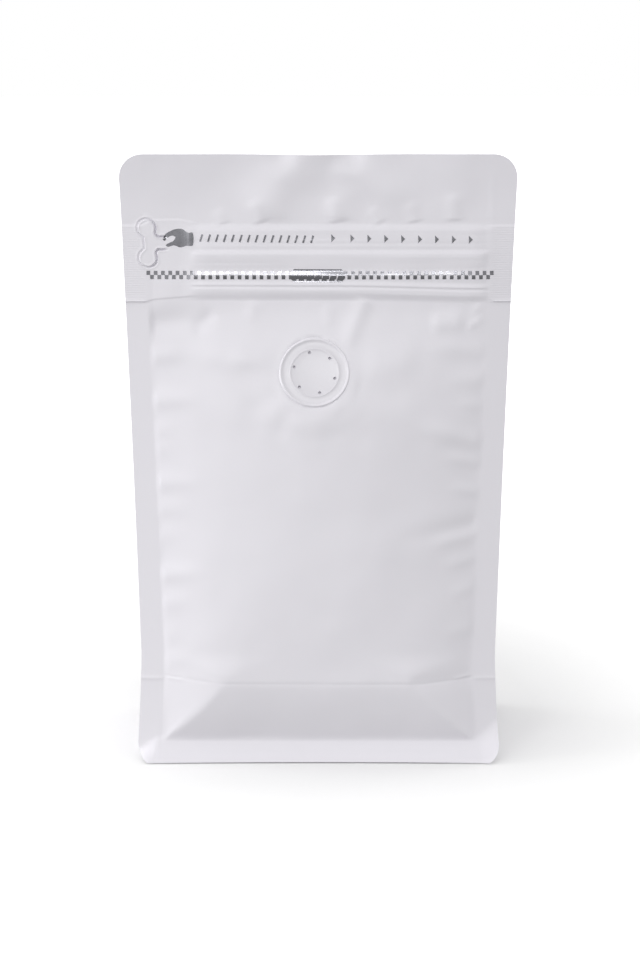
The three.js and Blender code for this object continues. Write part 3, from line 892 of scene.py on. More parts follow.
    def flap_bend(self, x, z):
        """How far the pressed flap above the zip bends back, as one sheet."""
        on_flap = ease((z - self.band.high) / FLAP_EASE)
        return -self.wrinkles * on_flap * fold_heights(FLAP_FOLDS, x, z)

    def edge_dip(self, x, z):
        """How far the mouth's edge sags in its middle."""
        sag = MOUTH_DIP * np.exp(-((x / MOUTH_DIP_WIDTH) ** 2))
        return sag * ease((z - self.band.high) / MOUTH_DIP_FADE)


def front_shares():
    """Places across the front panel, as shares of half its width between the fins."""
    tab_end = TAB_SHARE - 1.0
    past_tab = np.linspace(tab_end, 1.0, FRONT_COLUMNS + 1)
    return np.concatenate([spaced(-1.0, tab_end, TAB_COLUMNS), past_tab])


def panel_line(film, z, shares, left_columns, right_columns):
    """Places across a panel from edge to edge, a row for each height."""
    root, edge = film.seal_root(z)[:, None], film.half_edge(z)[:, None]
    left = -edge + (edge - root) * spaced(0.0, 1.0, left_columns)
    right = root + (edge - root) * np.linspace(0.0, 1.0, right_columns + 1)[1:]
    return np.concatenate([left, root * shares, right], axis=1)


def lay(film, x, z, panel_y, inset):
    """Points of a panel's film at the places x, moved by inset towards the inside."""
    rows = np.broadcast_to(z[:, None], x.shape)
    return np.stack([x, panel_y(x, rows) + inset, rows - film.edge_dip(x, rows)], axis=2)


def sheets(film, z):
    """The front film, the back film and the lining of each, at the heights z."""
    even = np.linspace(-1.0, 1.0, PLAIN_COLUMNS + 1)
    fine = panel_line(film, z, front_shares(), LEFT_FIN_COLUMNS, RIGHT_FIN_COLUMNS)
    plain = panel_line(film, z, even, LINING_COLUMNS, LINING_COLUMNS)
    return (
        lay(film, fine, z, film.front, 0.0),
        lay(film, plain, z, film.back, 0.0),
        lay(film, plain, z, film.front, film.bag.film),
        lay(film, plain, z, film.back, -film.bag.film),
    )


def gusset_rows(film, z):
    """The right gusset's points from front to back: it folds further in as the bag closes."""
    share = spaced(-1.0, 1.0, 2 * GUSSET_COLUMNS)[1:]
    bulge = np.sin(np.pi * np.abs(share))
    z = z[:, None]
    root, depth = film.seal_root(z), film.half_depth(z)
    slack = np.sqrt(np.maximum(film.half_depth(SEAM_Z) ** 2 - depth**2, 0.0))
    shut = ramp(z - film.bag.height, *GUSSET_SHUTS)
    fold_in = slack * ease((z - SEAM_Z) / GUSSET_EASE) * (1 - shut) + (root - GUSSET_GAP) * shut
    swollen = GUSSET_SWELL * np.sin(np.pi * np.minimum(z / GUSSET_SWELL_TOP, 1.0))
    x = root - fold_in * (1 - np.abs(share)) + swollen * bulge
    y = share * (depth - film.bag.film)
    rows = np.broadcast_to(z, x.shape)
    above = rows - SEAM_Z
    line = film.bag.depth / 2 * (1 - above / GUSSET_CREASE_RUN)
    crease = GUSSET_CREASE * np.exp(-np.abs(np.abs(y) - line) / GUSSET_CREASE_WIDTH)
    crease = crease * ease(above / GUSSET_CREASE_EASE) * (1 - ramp(rows, *GUSSET_CREASE_ENDS))
    loose = bulge * ease(above / GUSSET_DENTS_EASE) * (1 - ramp(rows, *GUSSET_DENTS_END))
    dents = film.crumple(y + GUSSET_DENTS_SHIFT, rows, film.seed + GUSSET_DENTS_SEED)
    x = x - crease + film.wrinkles * GUSSET_DENTS * loose * dents
    bend = film.flap_bend(np.abs(x), rows)
    return np.stack([x, y + bend, rows - film.edge_dip(x, rows)], axis=2)


def mirrored(rows, film):
    """Gusset points moved to the bag's other side, and so run the other way."""
    other = rows[:, ::-1].copy()
    heights = other[:, :, 2]
    other[:, :, 1] -= film.flap_bend(np.abs(other[:, :, 0]), heights)
    other[:, :, 0] *= -1
    other[:, :, 1] += film.flap_bend(other[:, :, 0], heights)
    return other


def shell_faces(rings, first, low, high):
    """Faces round a stack of rings whose points are numbered from first, with its low or high end shut."""
    count, size = rings.shape[:2]
    a = first + np.arange(count - 1)[:, None] * size + np.arange(size)
    b = first + np.arange(count - 1)[:, None] * size + (np.arange(size) + 1) % size
    faces = np.stack([a, b, b + size, a + size], axis=2).reshape(-1, 4).tolist()
    last = first + (count - 1) * size
    if low:
        faces.append(list(range(first + size - 1, first - 1, -1)))
    if high:
        faces.append(list(range(last, last + size)))
    return faces


def wall_heights(bag):
    """Heights of the walls' rings, from the seam to the mouth."""
    corner = np.linspace(0.0, np.pi / 2, ROWS_CORNER + 1)
    return np.concatenate([
        spaced(SEAM_Z, FOLD_ROWS[0], ROWS_TUCK),
        spaced(*FOLD_ROWS, ROWS_FOLD),
        spaced(FOLD_ROWS[1], BAND_ROWS[0], ROWS_BELLY),
        spaced(*BAND_ROWS, ROWS_BAND),
        spaced(BAND_ROWS[1], bag.height - bag.mouth_corner, ROWS_FLAP),
        bag.height - bag.mouth_corner * (1 - np.sin(corner)),
    ])


def wall_rings(film):
    """Rings round the walls: the panels, their fins' linings and the gussets between them."""
    z = wall_heights(film.bag)
    front, back, inner, outer = sheets(film, z)
    side = gusset_rows(film, z)
    fin = LINING_COLUMNS + 1
    return np.concatenate([
        front,
        inner[:, -fin:][:, ::-1],
        side,
        outer[:, -fin:],
        back[:, ::-1],
        outer[:, :fin],
        mirrored(side, film),
        inner[:, :fin][:, ::-1],
    ], axis=1)


def film_rings(film):
    """The walls' rings, both skirts' rings and the base's rings."""
    rise = 1 - np.cos(np.linspace(0.0, np.pi / 2, ROWS_SKIRT + 1))
    front, back, inner, outer = sheets(film, SKIRT_CLEAR + (SEAM_Z - SKIRT_CLEAR) * rise)
    front_skirt = np.concatenate([front, inner[:, ::-1]], axis=1)
    back_skirt = np.concatenate([outer, back[:, ::-1]], axis=1)
    seam = np.array([SEAM_Z])
    side = gusset_rows(film, seam)
    inner, outer = (sheet[0, LINING_COLUMNS:-LINING_COLUMNS] for sheet in sheets(film, seam)[2:])
    base_line = np.concatenate([inner, side[0], outer[::-1], mirrored(side, film)[0]])
    return wall_rings(film), front_skirt, back_skirt, base_rings(film, base_line, SEAM_Z * rise)


def base_rings(film, line, heights):
    """The base's rings, from its middle out and then up to the seam."""
    root = float(film.seal_root(np.array(SEAM_Z)))
    depth = float(film.half_depth(np.array(SEAM_Z)))
    under = 1 - np.sqrt(1 - (1 - heights / SEAM_Z) ** 2)
    rim = []
    for u, z in zip(under, heights):
        drawn_in = BASE_ROUND * u
        rim.append(line * (1 - drawn_in / root, 1 - drawn_in / depth, 0) + (0, 0, z))
    rings = []
    for share in np.linspace(BASE_MIDDLE, 1.0, BASE_RINGS + 1)[:-1]:
        ring = rim[0] * (share, share, 1)
        x, y = ring[:, 0], ring[:, 1]
        crossed = np.abs(np.abs(y) - depth * np.maximum(1 - (root - np.abs(x)) / depth, 0.0))
        crease = np.exp(-np.minimum(crossed, np.abs(y)) / BASE_CREASE_WIDTH)
        lift = BASE_LIFT * ease((1 - share) / BASE_LIFT_SHARE)
        ring[:, 2] += lift + BASE_CREASE * crease * ease((1 - share) / BASE_CREASE_SHARE)
        rings.append(ring)
    return np.array(rings + rim)


def new_object(name, data):
    """An object in the scene, at its origin."""
    made = bpy.data.objects.new(name, data)
    bpy.context.scene.collection.objects.link(made)
    return made


def smooth(mesh, sharp_degrees):
    """Shades a mesh smooth, apart from its sharp edges."""
    mesh.shade_smooth()
    mesh.set_sharp_from_angle(angle=math.radians(sharp_degrees))


def paint(mesh, name, values):
    """Gives a mesh a value at each point, for its material."""
    mesh.attributes.new(name, "FLOAT", "POINT").data.foreach_set("value", values)


def new_piece(name, points, faces, material, sharp_degrees):
    """A piece from points in millimetres, with doubles merged and sharp edges marked."""
    mesh = bpy.data.meshes.new(name)
    mesh.from_pydata((np.asarray(points) * MM).tolist(), [], faces)
    shell = bmesh.new()
    shell.from_mesh(mesh)
    bmesh.ops.remove_doubles(shell, verts=shell.verts, dist=MERGE_DISTANCE)
    shell.to_mesh(mesh)
    shell.free()
    smooth(mesh, sharp_degrees)
    mesh.materials.append(material)
    return new_object(name, mesh)


def bare_tree(block):
    """The emptied node tree of a new material or world."""
    block.use_nodes = True
    block.node_tree.nodes.clear()
    return block.node_tree


def mottled(tree, size, detail, dark, light):
    """Object coordinates, soft noise with dents of a size in millimetres, and a tone that follows it."""
    place = add(tree, "ShaderNodeTexCoord").outputs["Object"]
    noise = add(tree, "ShaderNodeTexNoise", {"Vector": place, "Scale": 1 / (size * MM), "Detail": detail})
    tone = add(tree, "ShaderNodeMix", {0: noise, 6: (*dark, 1.0), 7: (*light, 1.0)}, data_type="RGBA")
    return place, noise, tone.outputs[2]


def surface(tree, inputs):
    """Ends a material's tree with its shader."""
    shader = add(tree, "ShaderNodeBsdfPrincipled", inputs)
    add(tree, "ShaderNodeOutputMaterial", {"Surface": shader})


def matte_laminate(rgb):
    """Matte-varnished white laminate: a soft broad sheen, a faint mottle and a very fine grain."""
    material = bpy.data.materials.new("matte_laminate_film")
    tree = bare_tree(material)
    place, mottle, tone = mottled(tree, FILM_MOTTLE, 3.0, [c * FILM_SHADE for c in rgb], rgb)
    smoothest, roughest = FILM_ROUGH
    dull = add(tree, "ShaderNodeMapRange", {"Value": mottle, "To Min": smoothest, "To Max": roughest})
    rubbed = add(tree, "ShaderNodeAttribute", attribute_name="burnish").outputs["Fac"]
    rough = add(tree, "ShaderNodeMapRange", {"Value": rubbed, "To Min": dull, "To Max": BURNISH_ROUGH})
    grain = add(tree, "ShaderNodeTexNoise", {"Vector": place, "Scale": 1 / (FILM_GRAIN * MM), "Detail": 1.0})
    bump = add(tree, "ShaderNodeBump", {
        "Height": grain, "Strength": FILM_GRAIN_STRENGTH, "Distance": FILM_GRAIN_DEPTH * MM,
    })
    surface(tree, {"Base Color": tone, "Roughness": rough, "Normal": bump, "IOR": FILM_IOR})
    return material


def moulded_polyethylene(rgb):
    """Moulded polyethylene behind film: a waxy, even sheen, greyer in the dish inside its ring."""
    material = bpy.data.materials.new("moulded_polyethylene")
    tree = bare_tree(material)
    _, wave, tone = mottled(tree, VALVE_WAVE, 2.0, [c * VALVE_SHADE for c in rgb], rgb)
    in_dish = add(tree, "ShaderNodeAttribute", attribute_name="dish").outputs["Fac"]
    grey = [c * VALVE_DISH_SHADE for c in rgb]
    greyed = add(tree, "ShaderNodeMix", {0: in_dish, 6: tone, 7: (*grey, 1.0)}, data_type="RGBA")
    bump = add(tree, "ShaderNodeBump", {
        "Height": wave, "Strength": VALVE_WAVE_STRENGTH, "Distance": VALVE_WAVE_DEPTH * MM,
    })
    surface(tree, {
        "Base Color": greyed.outputs[2], "Roughness": VALVE_ROUGH, "Normal": bump, "IOR": VALVE_IOR,
    })
    return material


def metallic_ink(rgb):
    """Metallic grey ink under varnish: dark where it lies flat, white where a crease turns to the light."""
    material = bpy.data.materials.new("metallic_grey_ink")
    tree = bare_tree(material)
    _, flake, tone = mottled(tree, INK_FLAKE, 2.0, [c * INK_SHADE for c in rgb], rgb)
    smoothest, roughest = INK_ROUGH
    rough = add(tree, "ShaderNodeMapRange", {"Value": flake, "To Min": smoothest, "To Max": roughest})
    surface(tree, {"Base Color": tone, "Roughness": rough, "Metallic": 1.0})
    return material


def white_paper(glow):
    """White paper sweep: matte, with a painted glow that is nil near the bag and rises further out, so that
    the bag's shadow fades into a clean white ground.
    """
    material = bpy.data.materials.new("white_paper_sweep")
    tree = bare_tree(material)
    pale, paler = (linear(tone) for tone in PAPER_TONES)
    place, _, tone = mottled(tree, PAPER_FIBRE, 2.0, pale, paler)
    spread = add(tree, "ShaderNodeMapping", {
        "Vector": place, "Location": FLOOR_GLOW_SHIFT, "Scale": FLOOR_GLOW_SCALE,
    })
    away = add(tree, "ShaderNodeVectorMath", {0: spread}, operation="LENGTH").outputs["Value"]
    # Painted glow: the floor's own light grows with the distance from a point beside the bag, which lightens
    # the outer part of the bag's shadow
    near, far = FLOOR_GLOW_REACH
    painted_glow = add(tree, "ShaderNodeMapRange", {
        "Value": away, "From Min": near, "From Max": far, "To Min": 0.0, "To Max": glow,
    })
    surface(tree, {
        "Base Color": tone, "Roughness": PAPER_ROUGH, "Specular IOR Level": PAPER_SHEEN,
        "Emission Color": WHITE, "Emission Strength": painted_glow,
    })
    return material


def new_tree(name, sockets):
    """A geometry tree with named inputs and one geometry output, and its two end nodes."""
    tree = bpy.data.node_groups.new(name, "GeometryNodeTree")
    for socket, kind in sockets:
        tree.interface.new_socket(socket, in_out="INPUT", socket_type=f"NodeSocket{kind}")
    tree.interface.new_socket("Geometry", in_out="OUTPUT", socket_type="NodeSocketGeometry")
    return tree, add(tree, "NodeGroupInput").outputs, add(tree, "NodeGroupOutput").inputs["Geometry"]


def grow(name, tree, values, mesh=None):
    """A piece made by a geometry tree, as a plain mesh."""
    piece = new_object(name, mesh or bpy.data.meshes.new(name))
    modifier = piece.modifiers.new(tree.name, "NODES")
    modifier.node_group = tree
    for socket in tree.interface.items_tree:
        if socket.in_out == "INPUT" and socket.name in values:
            modifier[socket.identifier] = values[socket.name]
    grown = piece.evaluated_get(bpy.context.evaluated_depsgraph_get())
    made = bpy.data.meshes.new_from_object(grown)
    if not made.polygons:
        raise RuntimeError(f"{tree.name} made no faces")
    piece.modifiers.clear()
    piece.data = made
    made.name = name
    return piece


def lay_on_film():
    """A tree that lays flat ink on the film in front of it, ends its instances and gives it the ink."""
    tree, given, result = new_tree(LAY_INK, (("Geometry", "Geometry"), *INK_SOCKETS))
    real = add(tree, "GeometryNodeRealizeInstances", {"Geometry": given["Geometry"]})
    where = add(tree, "GeometryNodeInputPosition")
    place = add(tree, "ShaderNodeSeparateXYZ", {"Vector": where}).outputs
    film = add(tree, "GeometryNodeObjectInfo", {"Object": given["Film"]})
    source = add(tree, "ShaderNodeCombineXYZ", {"X": place["X"], "Y": RAY_START, "Z": place["Z"]})
    ray = add(tree, "GeometryNodeRaycast", {
        "Target Geometry": film.outputs["Geometry"],
        "Source Position": source,
        "Ray Direction": (0.0, 1.0, 0.0),
        "Ray Length": -2 * RAY_START,
    })
    hit = add(tree, "ShaderNodeSeparateXYZ", {"Vector": ray.outputs["Hit Position"]}).outputs
    depth = add(tree, "ShaderNodeMath", {0: hit["Y"], 1: place["Y"]}, operation="ADD")
    laid = add(tree, "ShaderNodeCombineXYZ", {"X": place["X"], "Y": depth, "Z": place["Z"]})
    moved = add(tree, "GeometryNodeSetPosition", {"Geometry": real, "Position": laid})
    inked = add(tree, "GeometryNodeSetMaterial", {"Geometry": moved, "Material": given["Ink"]})
    tree.links.new(inked.outputs[0], result)
    return tree


def laid(tree, given, marks, result):
    """Ends a tree of marks by laying them on the film."""
    group = bpy.data.node_groups.get(LAY_INK) or lay_on_film()
    inputs = {"Geometry": marks, "Film": given["Film"], "Ink": given["Ink"]}
    end = add(tree, "GeometryNodeGroup", inputs, node_tree=group)
    tree.links.new(end.outputs[0], result)


def grid(counts):
    """How many points a block has along its three sides."""
    return dict(zip(("Vertices X", "Vertices Y", "Vertices Z"), counts))


def cut_out(tree, body, marks):
    """Cuts instances out of a body."""
    solid = add(tree, "GeometryNodeRealizeInstances", {"Geometry": marks})
    both = {"Mesh 1": body, "Mesh 2": solid}
    return add(tree, "GeometryNodeMeshBoolean", both, operation="DIFFERENCE", solver="EXACT")


def row_tree(name, with_mark):
    """A row of equal marks, of which the first one and every second one can be moved."""
    sockets = (
        ("Count", "Int"), ("Start", "Vector"), ("Step", "Vector"), ("Mark", "Vector"),
        ("First moved", "Vector"), ("Second moved", "Vector"),
    )
    tree, given, result = new_tree(name, (*sockets, *INK_SOCKETS))
    points = add(tree, "GeometryNodeMeshLine", {
        "Count": given["Count"], "Start Location": given["Start"], "Offset": given["Step"],
    }, mode="OFFSET")
    index = add(tree, "GeometryNodeInputIndex")
    first = add(tree, "ShaderNodeMath", {0: index, 1: 0.5}, operation="LESS_THAN")
    second = add(tree, "ShaderNodeMath", {0: index, 1: 2.0}, operation="MODULO")
    for which, way in ((first, "First moved"), (second, "Second moved")):
        moved = add(tree, "ShaderNodeVectorMath", {0: given[way], "Scale": which}, operation="SCALE")
        points = add(tree, "GeometryNodeSetPosition", {"Geometry": points, "Offset": moved})
    mark = with_mark(tree, given["Mark"])
    marks = add(tree, "GeometryNodeInstanceOnPoints", {"Points": points, "Instance": mark})
    laid(tree, given, marks, result)
    return tree


def tile_mark(tree, size):
    """A flat upright tile."""
    return add(tree, "GeometryNodeMeshCube", {"Size": size, **grid(TILE_GRID)})


def triangle_mark(tree, size):
    """A flat triangle that points right."""
    prism = add(tree, "GeometryNodeMeshCylinder", {
        "Vertices": 3, "Side Segments": 1, "Fill Segments": 3, "Radius": 2 / 3, "Depth": 1.0,
    })
    quarter_turn = Euler((math.pi / 2, 0.0, 0.0))
    upright = add(tree, "GeometryNodeTransform", {"Geometry": prism, "Rotation": quarter_turn})
    return add(tree, "GeometryNodeTransform", {"Geometry": upright, "Scale": size})


def slanted_mark(tree, size):
    """A flat bar that leans to the right."""
    bar = add(tree, "GeometryNodeMeshCube", {"Size": size, **grid(BAR_GRID)})
    slant = Euler((0.0, BAR_SLANT, 0.0))
    return add(tree, "GeometryNodeTransform", {"Geometry": bar, "Rotation": slant})


def lozenge_tree():
    """A field with cut corners and a row of slanted slits through it."""
    sockets = (
        ("Size", "Vector"), ("Place", "Vector"), ("Cut", "Float"), ("Slits", "Int"), ("Slit", "Vector"),
        ("Slit step", "Vector"), ("Slit start", "Vector"),
    )
    tree, given, result = new_tree("Lozenge", (*sockets, *INK_SOCKETS))
    field = add(tree, "GeometryNodeMeshCube", {"Size": given["Size"], **grid(LOZENGE_GRID)})
    size = add(tree, "ShaderNodeSeparateXYZ", {"Vector": given["Size"]}).outputs
    where = add(tree, "GeometryNodeInputPosition")
    place = add(tree, "ShaderNodeSeparateXYZ", {"Vector": where}).outputs
    half_x = add(tree, "ShaderNodeMath", {0: size["X"], 1: 0.5}, operation="MULTIPLY")
    half_z = add(tree, "ShaderNodeMath", {0: size["Z"], 1: 0.5}, operation="MULTIPLY")
    straight = add(tree, "ShaderNodeMath", {0: half_z, 1: given["Cut"]}, operation="SUBTRACT")
    height = add(tree, "ShaderNodeMath", {0: place["Z"]}, operation="ABSOLUTE")
    past = add(tree, "ShaderNodeMath", {0: height, 1: straight}, operation="SUBTRACT")
    cut = add(tree, "ShaderNodeMath", {0: past, 1: 0.0}, operation="MAXIMUM")
    share = add(tree, "ShaderNodeMath", {0: cut, 1: half_x}, operation="DIVIDE")
    keep = add(tree, "ShaderNodeMath", {0: 1.0, 1: share}, operation="SUBTRACT")
    across = add(tree, "ShaderNodeMath", {0: place["X"], 1: keep}, operation="MULTIPLY")
    shaped = add(tree, "ShaderNodeCombineXYZ", {"X": across, "Y": place["Y"], "Z": place["Z"]})
    lozenge = add(tree, "GeometryNodeSetPosition", {"Geometry": field, "Position": shaped})
    line = add(tree, "GeometryNodeMeshLine", {
        "Count": given["Slits"], "Start Location": given["Slit start"], "Offset": given["Slit step"],
    }, mode="OFFSET")
    slit = slanted_mark(tree, given["Slit"])
    slits = add(tree, "GeometryNodeInstanceOnPoints", {"Points": line, "Instance": slit})
    slotted = cut_out(tree, lozenge, slits)
    there = add(tree, "GeometryNodeTransform", {"Geometry": slotted, "Translation": given["Place"]})
    laid(tree, given, there, result)
    return tree


def flat_tree():
    """A flat outline that is already in place."""
    tree, given, result = new_tree("Flat mark", (("Geometry", "Geometry"), *INK_SOCKETS))
    laid(tree, given, given["Geometry"], result)
    return tree


def pinhole_tree():
    """A disc with a ring of pinholes cut into its face."""
    sockets = (
        ("Geometry", "Geometry"), ("Holes", "Int"), ("Circle", "Float"), ("Radius", "Float"),
        ("Depth", "Float"), ("Turn", "Float"), ("Plastic", "Material"),
    )
    tree, given, result = new_tree("Pinholes", sockets)
    ring = add(tree, "GeometryNodeMeshCircle", {"Vertices": given["Holes"], "Radius": given["Circle"]})
    angle = add(tree, "ShaderNodeCombineXYZ", {"Z": given["Turn"]})
    turned = add(tree, "GeometryNodeTransform", {"Geometry": ring, "Rotation": angle})
    tall = add(tree, "ShaderNodeMath", {0: given["Depth"], 1: 2.0}, operation="MULTIPLY")
    bore = add(tree, "GeometryNodeMeshCylinder", {
        "Vertices": PINHOLE_SIDES, "Radius": given["Radius"], "Depth": tall,
    })
    bores = add(tree, "GeometryNodeInstanceOnPoints", {"Points": turned, "Instance": bore})
    bored = cut_out(tree, given["Geometry"], bores)
    white = add(tree, "GeometryNodeSetMaterial", {"Geometry": bored, "Material": given["Plastic"]})
    tree.links.new(white.outputs[0], result)
    return tree


def hand_slab():
    """A flat closed slab in the outline of a pinching hand, with a smooth curve through its points."""
    knots = np.array(HAND_OUTLINE)
    before, after, beyond = np.roll(knots, 1, 0), np.roll(knots, -1, 0), np.roll(knots, -2, 0)
    outline = []
    for a, b, c, d in zip(before, knots, after, beyond):
        for t in spaced(0.0, 1.0, HAND_STEPS):
            bend = 2 * b + (c - a) * t + (2 * a - 5 * b + 4 * c - d) * t**2 + (3 * b - a - 3 * c + d) * t**3
            outline.append(bend / 2 * HAND_SCALE + HAND_PLACE)
    slab = bmesh.new()
    ring = [slab.verts.new((x * MM, 0.0, z * MM)) for x, z in outline]
    edges = [slab.edges.new((ring[i - 1], ring[i])) for i in range(len(ring))]
    bmesh.ops.triangle_fill(slab, use_beauty=True, edges=edges)
    for _ in range(HAND_SPLITS):
        long_edges = [e for e in slab.edges if e.calc_length() > HAND_SPACING * MM]
        bmesh.ops.subdivide_edges(slab, edges=long_edges, cuts=1)
        bmesh.ops.triangulate(slab, faces=slab.faces)
    grown = bmesh.ops.extrude_face_region(slab, geom=slab.faces[:])
    raised = [v for v in grown["geom"] if isinstance(v, bmesh.types.BMVert)]
    bmesh.ops.translate(slab, verts=raised, vec=(0.0, -INK_THICK * MM, 0.0))
    bmesh.ops.translate(slab, verts=slab.verts, vec=(0.0, INK_THICK / 2 * MM, 0.0))
    bmesh.ops.recalc_face_normals(slab, faces=slab.faces)
    mesh = bpy.data.meshes.new("hand")
    slab.to_mesh(mesh)
    slab.free()
    return mesh


def metres(*sizes):
    """Sizes in millimetres as a vector in metres."""
    return Vector(sizes) * MM


class COFFEE_BAG_OT_make_film(bpy.types.Operator):
    """Makes the film bag with its fins, gussets, zip band and wrinkles"""

    bl_idname = "coffee_bag.make_film"
    bl_label = "Make film"
    bl_options = {"REGISTER", "UNDO"}

    def execute(self, context):
        settings = context.scene.coffee_bag
        film = Film(settings)
        walls, front_skirt, back_skirt, base = film_rings(film)
        shells = [(walls, False, True)]
        shells += [(rings, True, False) for rings in (front_skirt, back_skirt, base)]
        points, faces = [], []
        for rings, low, high in shells:
            faces += shell_faces(rings, sum(len(p) for p in points), low, high)
            points.append(rings.reshape(-1, 3))
        laminate = matte_laminate(settings.finish.film)
        piece = new_piece("film_bag", np.concatenate(points), faces, laminate, FILM_SHARP)
        x, y, z = np.transpose([v.co for v in piece.data.vertices]) / MM
        paint(piece.data, "burnish", film.burnish(x, z) * (y < 0))
        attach(piece, "root")
        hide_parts("bag")
        return {"FINISHED"}


class COFFEE_BAG_OT_make_valve(bpy.types.Operator):
    """Makes the one-way valve with its raised bead and its ring of pinholes"""

    bl_idname = "coffee_bag.make_valve"
    bl_label = "Make valve"
    bl_options = {"REGISTER", "UNDO"}

    def execute(self, context):
        settings = context.scene.coffee_bag
        film = Film(settings)
        turn = spaced(0.0, 2 * np.pi, VALVE_SIDES)
        circle = np.column_stack([np.cos(turn), np.sin(turn), np.zeros(VALVE_SIDES)])
        under = ((VALVE_AXIS, VALVE_UNDER), (VALVE_PROFILE[0][0], VALVE_UNDER))
        profile = (*under, *VALVE_PROFILE, (VALVE_AXIS, VALVE_MIDDLE))
        rings = np.array([circle * r + (0.0, 0.0, h) for r, h in profile])
        faces = shell_faces(rings, 0, True, True)
        plastic = moulded_polyethylene(settings.finish.valve)
        disc = new_piece("one_way_valve_disc", rings.reshape(-1, 3), faces, plastic, VALVE_SHARP)
        values = {
            "Holes": PINHOLES, "Circle": PINHOLE_CIRCLE * MM, "Radius": settings.valve.pinhole,
            "Depth": PINHOLE_DEPTH * MM, "Turn": PINHOLE_TURN, "Plastic": plastic,
        }
        piece = grow("one_way_valve", pinhole_tree(), values, disc.data)
        bpy.data.objects.remove(disc)
        away = np.array([v.co.xy.length for v in piece.data.vertices]) / MM
        paint(piece.data, "dish", ease((VALVE_DISH - away) / VALVE_DISH_EDGE))
        out = Vector((0.0, -1.0, film.valve_slope)).normalized()
        place = out.to_track_quat("Z", "Y").to_matrix().to_4x4()
        place.translation = metres(film.valve.across, film.valve_y, film.valve.up)
        piece.data.transform(place)
        smooth(piece.data, VALVE_SHARP)
        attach(piece, "root")
        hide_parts("valve")
        return {"FINISHED"}


class COFFEE_BAG_OT_print_marks(bpy.types.Operator):
    """Prints the checker strip, its lozenge, the triangles, the bars and the hand"""

    bl_idname = "coffee_bag.print_marks"
    bl_label = "Print marks"
    bl_options = {"REGISTER", "UNDO"}

    def execute(self, context):
        settings = context.scene.coffee_bag
        sizes = in_mm(settings.marks)
        film = bpy.data.objects["film_bag"]
        shared = {"Film": film, "Ink": metallic_ink(settings.finish.ink)}
        cell = metres(sizes.cell_width, INK_THICK, sizes.cell_height)
        bar = metres(sizes.bar_width, INK_THICK, sizes.bar_height)
        field = metres(sizes.lozenge_width, LOZENGE_THICK, sizes.lozenge_height)
        slit = metres(SLIT_SIZE[0], SLIT_DEPTH, SLIT_SIZE[1])
        slit_start = metres(-SLIT_PITCH * (SLITS - 1) / 2, 0.0, SLIT_DROP)
        first_arrow = ARROW_RIGHT - ARROW_PITCH * (ARROWS - 1)
        arrow_rise = MARKS_DROP * first_arrow
        pieces = (
            grow("print_checker", row_tree("Checker strip", tile_mark), {
                **shared, "Count": CHECKER_CELLS, "Start": metres(CHECKER_LEFT, 0.0, CHECKER_Z), "Mark": cell,
                "Step": metres(sizes.cell_width, 0.0, 0.0),
                "Second moved": metres(0.0, 0.0, -sizes.cell_height),
            }),
            grow("print_lozenge", lozenge_tree(), {
                **shared, "Size": field, "Cut": LOZENGE_CUT * MM,
                "Place": metres(LOZENGE_PLACE[0], 0.0, LOZENGE_PLACE[1]), "Slits": SLITS, "Slit": slit,
                "Slit step": metres(SLIT_PITCH, 0.0, 0.0), "Slit start": slit_start,
            }),
            grow("print_triangles", row_tree("Triangles", triangle_mark), {
                **shared, "Count": ARROWS, "Start": metres(first_arrow, 0.0, MARKS_Z + arrow_rise),
                "Step": metres(ARROW_PITCH, 0.0, MARKS_DROP * ARROW_PITCH),
                "First moved": metres(-ARROW_EXTRA_GAP, 0.0, 0.0),
                "Mark": metres(sizes.arrow_width, INK_THICK, sizes.arrow_height),
            }),
            grow("print_bars", row_tree("Slanted bars", slanted_mark), {
                **shared, "Count": BARS, "Start": metres(BARS_LEFT, 0.0, MARKS_Z),
                "Step": metres(BAR_PITCH, 0.0, MARKS_DROP * BAR_PITCH), "Mark": bar,
            }),
            grow("print_hand", flat_tree(), shared, hand_slab()),
        )
        for piece in pieces:
            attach(piece, "root")
        return {"FINISHED"}


class COFFEE_BAG_OT_set_stage(bpy.types.Operator):
    """Sets the white floor, the soft lights and the camera"""

    bl_idname = "coffee_bag.set_stage"
    bl_label = "Set stage"
    bl_options = {"REGISTER", "UNDO"}

    def execute(self, context):
        studio = context.scene.coffee_bag.studio
        corners = [(x * FLOOR_HALF, y * FLOOR_HALF, 0.0) for x, y in ((-1, -1), (1, -1), (1, 1), (-1, 1))]
        mesh = bpy.data.meshes.new("floor")
        mesh.from_pydata(corners, [], [(0, 1, 2, 3)])
        mesh.materials.append(white_paper(studio.floor_glow))
        floor = new_object("floor", mesh)
        floor.visible_diffuse = False
        floor.visible_glossy = False
        floor.visible_shadow = False
        for name, box in SOFTBOXES.items():
            soft_light(f"{name}_softbox", getattr(studio, name), box)
        set_world(studio.sky, studio.ground)
        set_camera()
        context.scene.view_settings.view_transform = "Standard"
        return {"FINISHED"}


def soft_light(name, watts, box):
    """A soft rectangular light that faces the middle of the bag."""
    lamp = bpy.data.lights.new(name, "AREA")
    lamp.shape = "RECTANGLE"
    lamp.size, lamp.size_y = box.size
    lamp.energy = watts
    light = new_object(name, lamp)
    light.location = box.place
    light.rotation_euler = (Vector(CAMERA_TARGET) - Vector(box.place)).to_track_quat("-Z", "Y").to_euler()


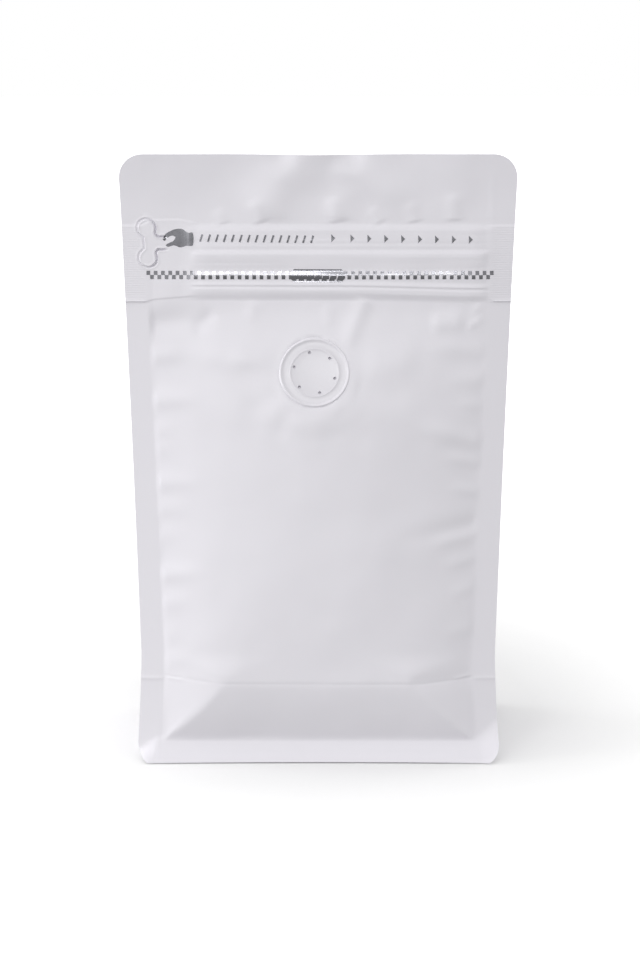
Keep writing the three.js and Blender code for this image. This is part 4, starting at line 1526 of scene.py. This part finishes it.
def set_world(sky, ground):
    """Soft light from all round, brighter above the horizon, in front of a clean white ground."""
    world = bpy.data.worlds.new("studio")
    bpy.context.scene.world = world
    tree = bare_tree(world)
    facing = add(tree, "ShaderNodeTexCoord").outputs["Generated"]
    up = add(tree, "ShaderNodeSeparateXYZ", {"Vector": facing}).outputs["Z"]
    level = add(tree, "ShaderNodeMapRange", {
        "Value": up, "From Min": -HORIZON, "From Max": HORIZON, "To Min": ground, "To Max": sky,
    })
    light = add(tree, "ShaderNodeBackground", {"Color": WHITE, "Strength": level})
    seen = add(tree, "ShaderNodeBackground", {"Color": WHITE, "Strength": 1.0})
    to_camera = add(tree, "ShaderNodeLightPath").outputs["Is Camera Ray"]
    both = add(tree, "ShaderNodeMixShader", {0: to_camera, 1: light, 2: seen})
    add(tree, "ShaderNodeOutputWorld", {"Surface": both})


def set_camera():
    """The camera at the photograph's viewing angle."""
    lens = bpy.data.cameras.new("camera")
    lens.sensor_width = SENSOR
    lens.lens = FOCAL_PIXELS / max(IMAGE_SIZE) * SENSOR
    camera = new_object("camera", lens)
    tilt = math.radians(CAMERA_ELEVATION)
    back = Vector((0.0, -math.cos(tilt), math.sin(tilt)))
    camera.location = Vector(CAMERA_TARGET) + back * CAMERA_DISTANCE
    camera.rotation_euler = (-back).to_track_quat("-Z", "Y").to_euler()
    bpy.context.scene.camera = camera


class COFFEE_BAG_PT_panel(bpy.types.Panel):
    """Lists the bag's sizes and its makers"""

    bl_idname = "COFFEE_BAG_PT_panel"
    bl_label = "Coffee bag"
    bl_space_type = "VIEW_3D"
    bl_region_type = "UI"
    bl_category = "Coffee bag"

    def draw(self, context):
        settings = context.scene.coffee_bag
        for name in ("bag", "band", "valve", "marks", "finish", "studio"):
            box = self.layout.box()
            group = getattr(settings, name)
            for key in group.__annotations__:
                box.prop(group, key)
        self.layout.prop(settings, "wrinkles")
        self.layout.prop(settings, "seed")
        for operator in MAKERS:
            self.layout.operator(operator.bl_idname)


GROUPS = (BagSizes, BandSizes, ValveSizes, PrintSizes, Finish, Studio, CoffeeBag)
MAKERS = (
    COFFEE_BAG_OT_make_film,
    COFFEE_BAG_OT_make_valve,
    COFFEE_BAG_OT_print_marks,
    COFFEE_BAG_OT_set_stage,
)
CLASSES = (*GROUPS, *MAKERS, COFFEE_BAG_PT_panel)


def register():
    """Registers the add-on's classes and its settings."""
    for cls in CLASSES:
        bpy.utils.register_class(cls)
    bpy.types.Scene.coffee_bag = bpy.props.PointerProperty(type=CoffeeBag)


def unregister():
    """Takes the settings and the classes out again."""
    del bpy.types.Scene.coffee_bag
    for cls in reversed(CLASSES):
        bpy.utils.unregister_class(cls)


def main():
    """Makes the whole scene."""
    register()
    bpy.ops.coffee_bag.make_film()
    bpy.ops.coffee_bag.make_valve()
    bpy.ops.coffee_bag.print_marks()
    bpy.ops.coffee_bag.set_stage()


if __name__ == "__main__":
    main()
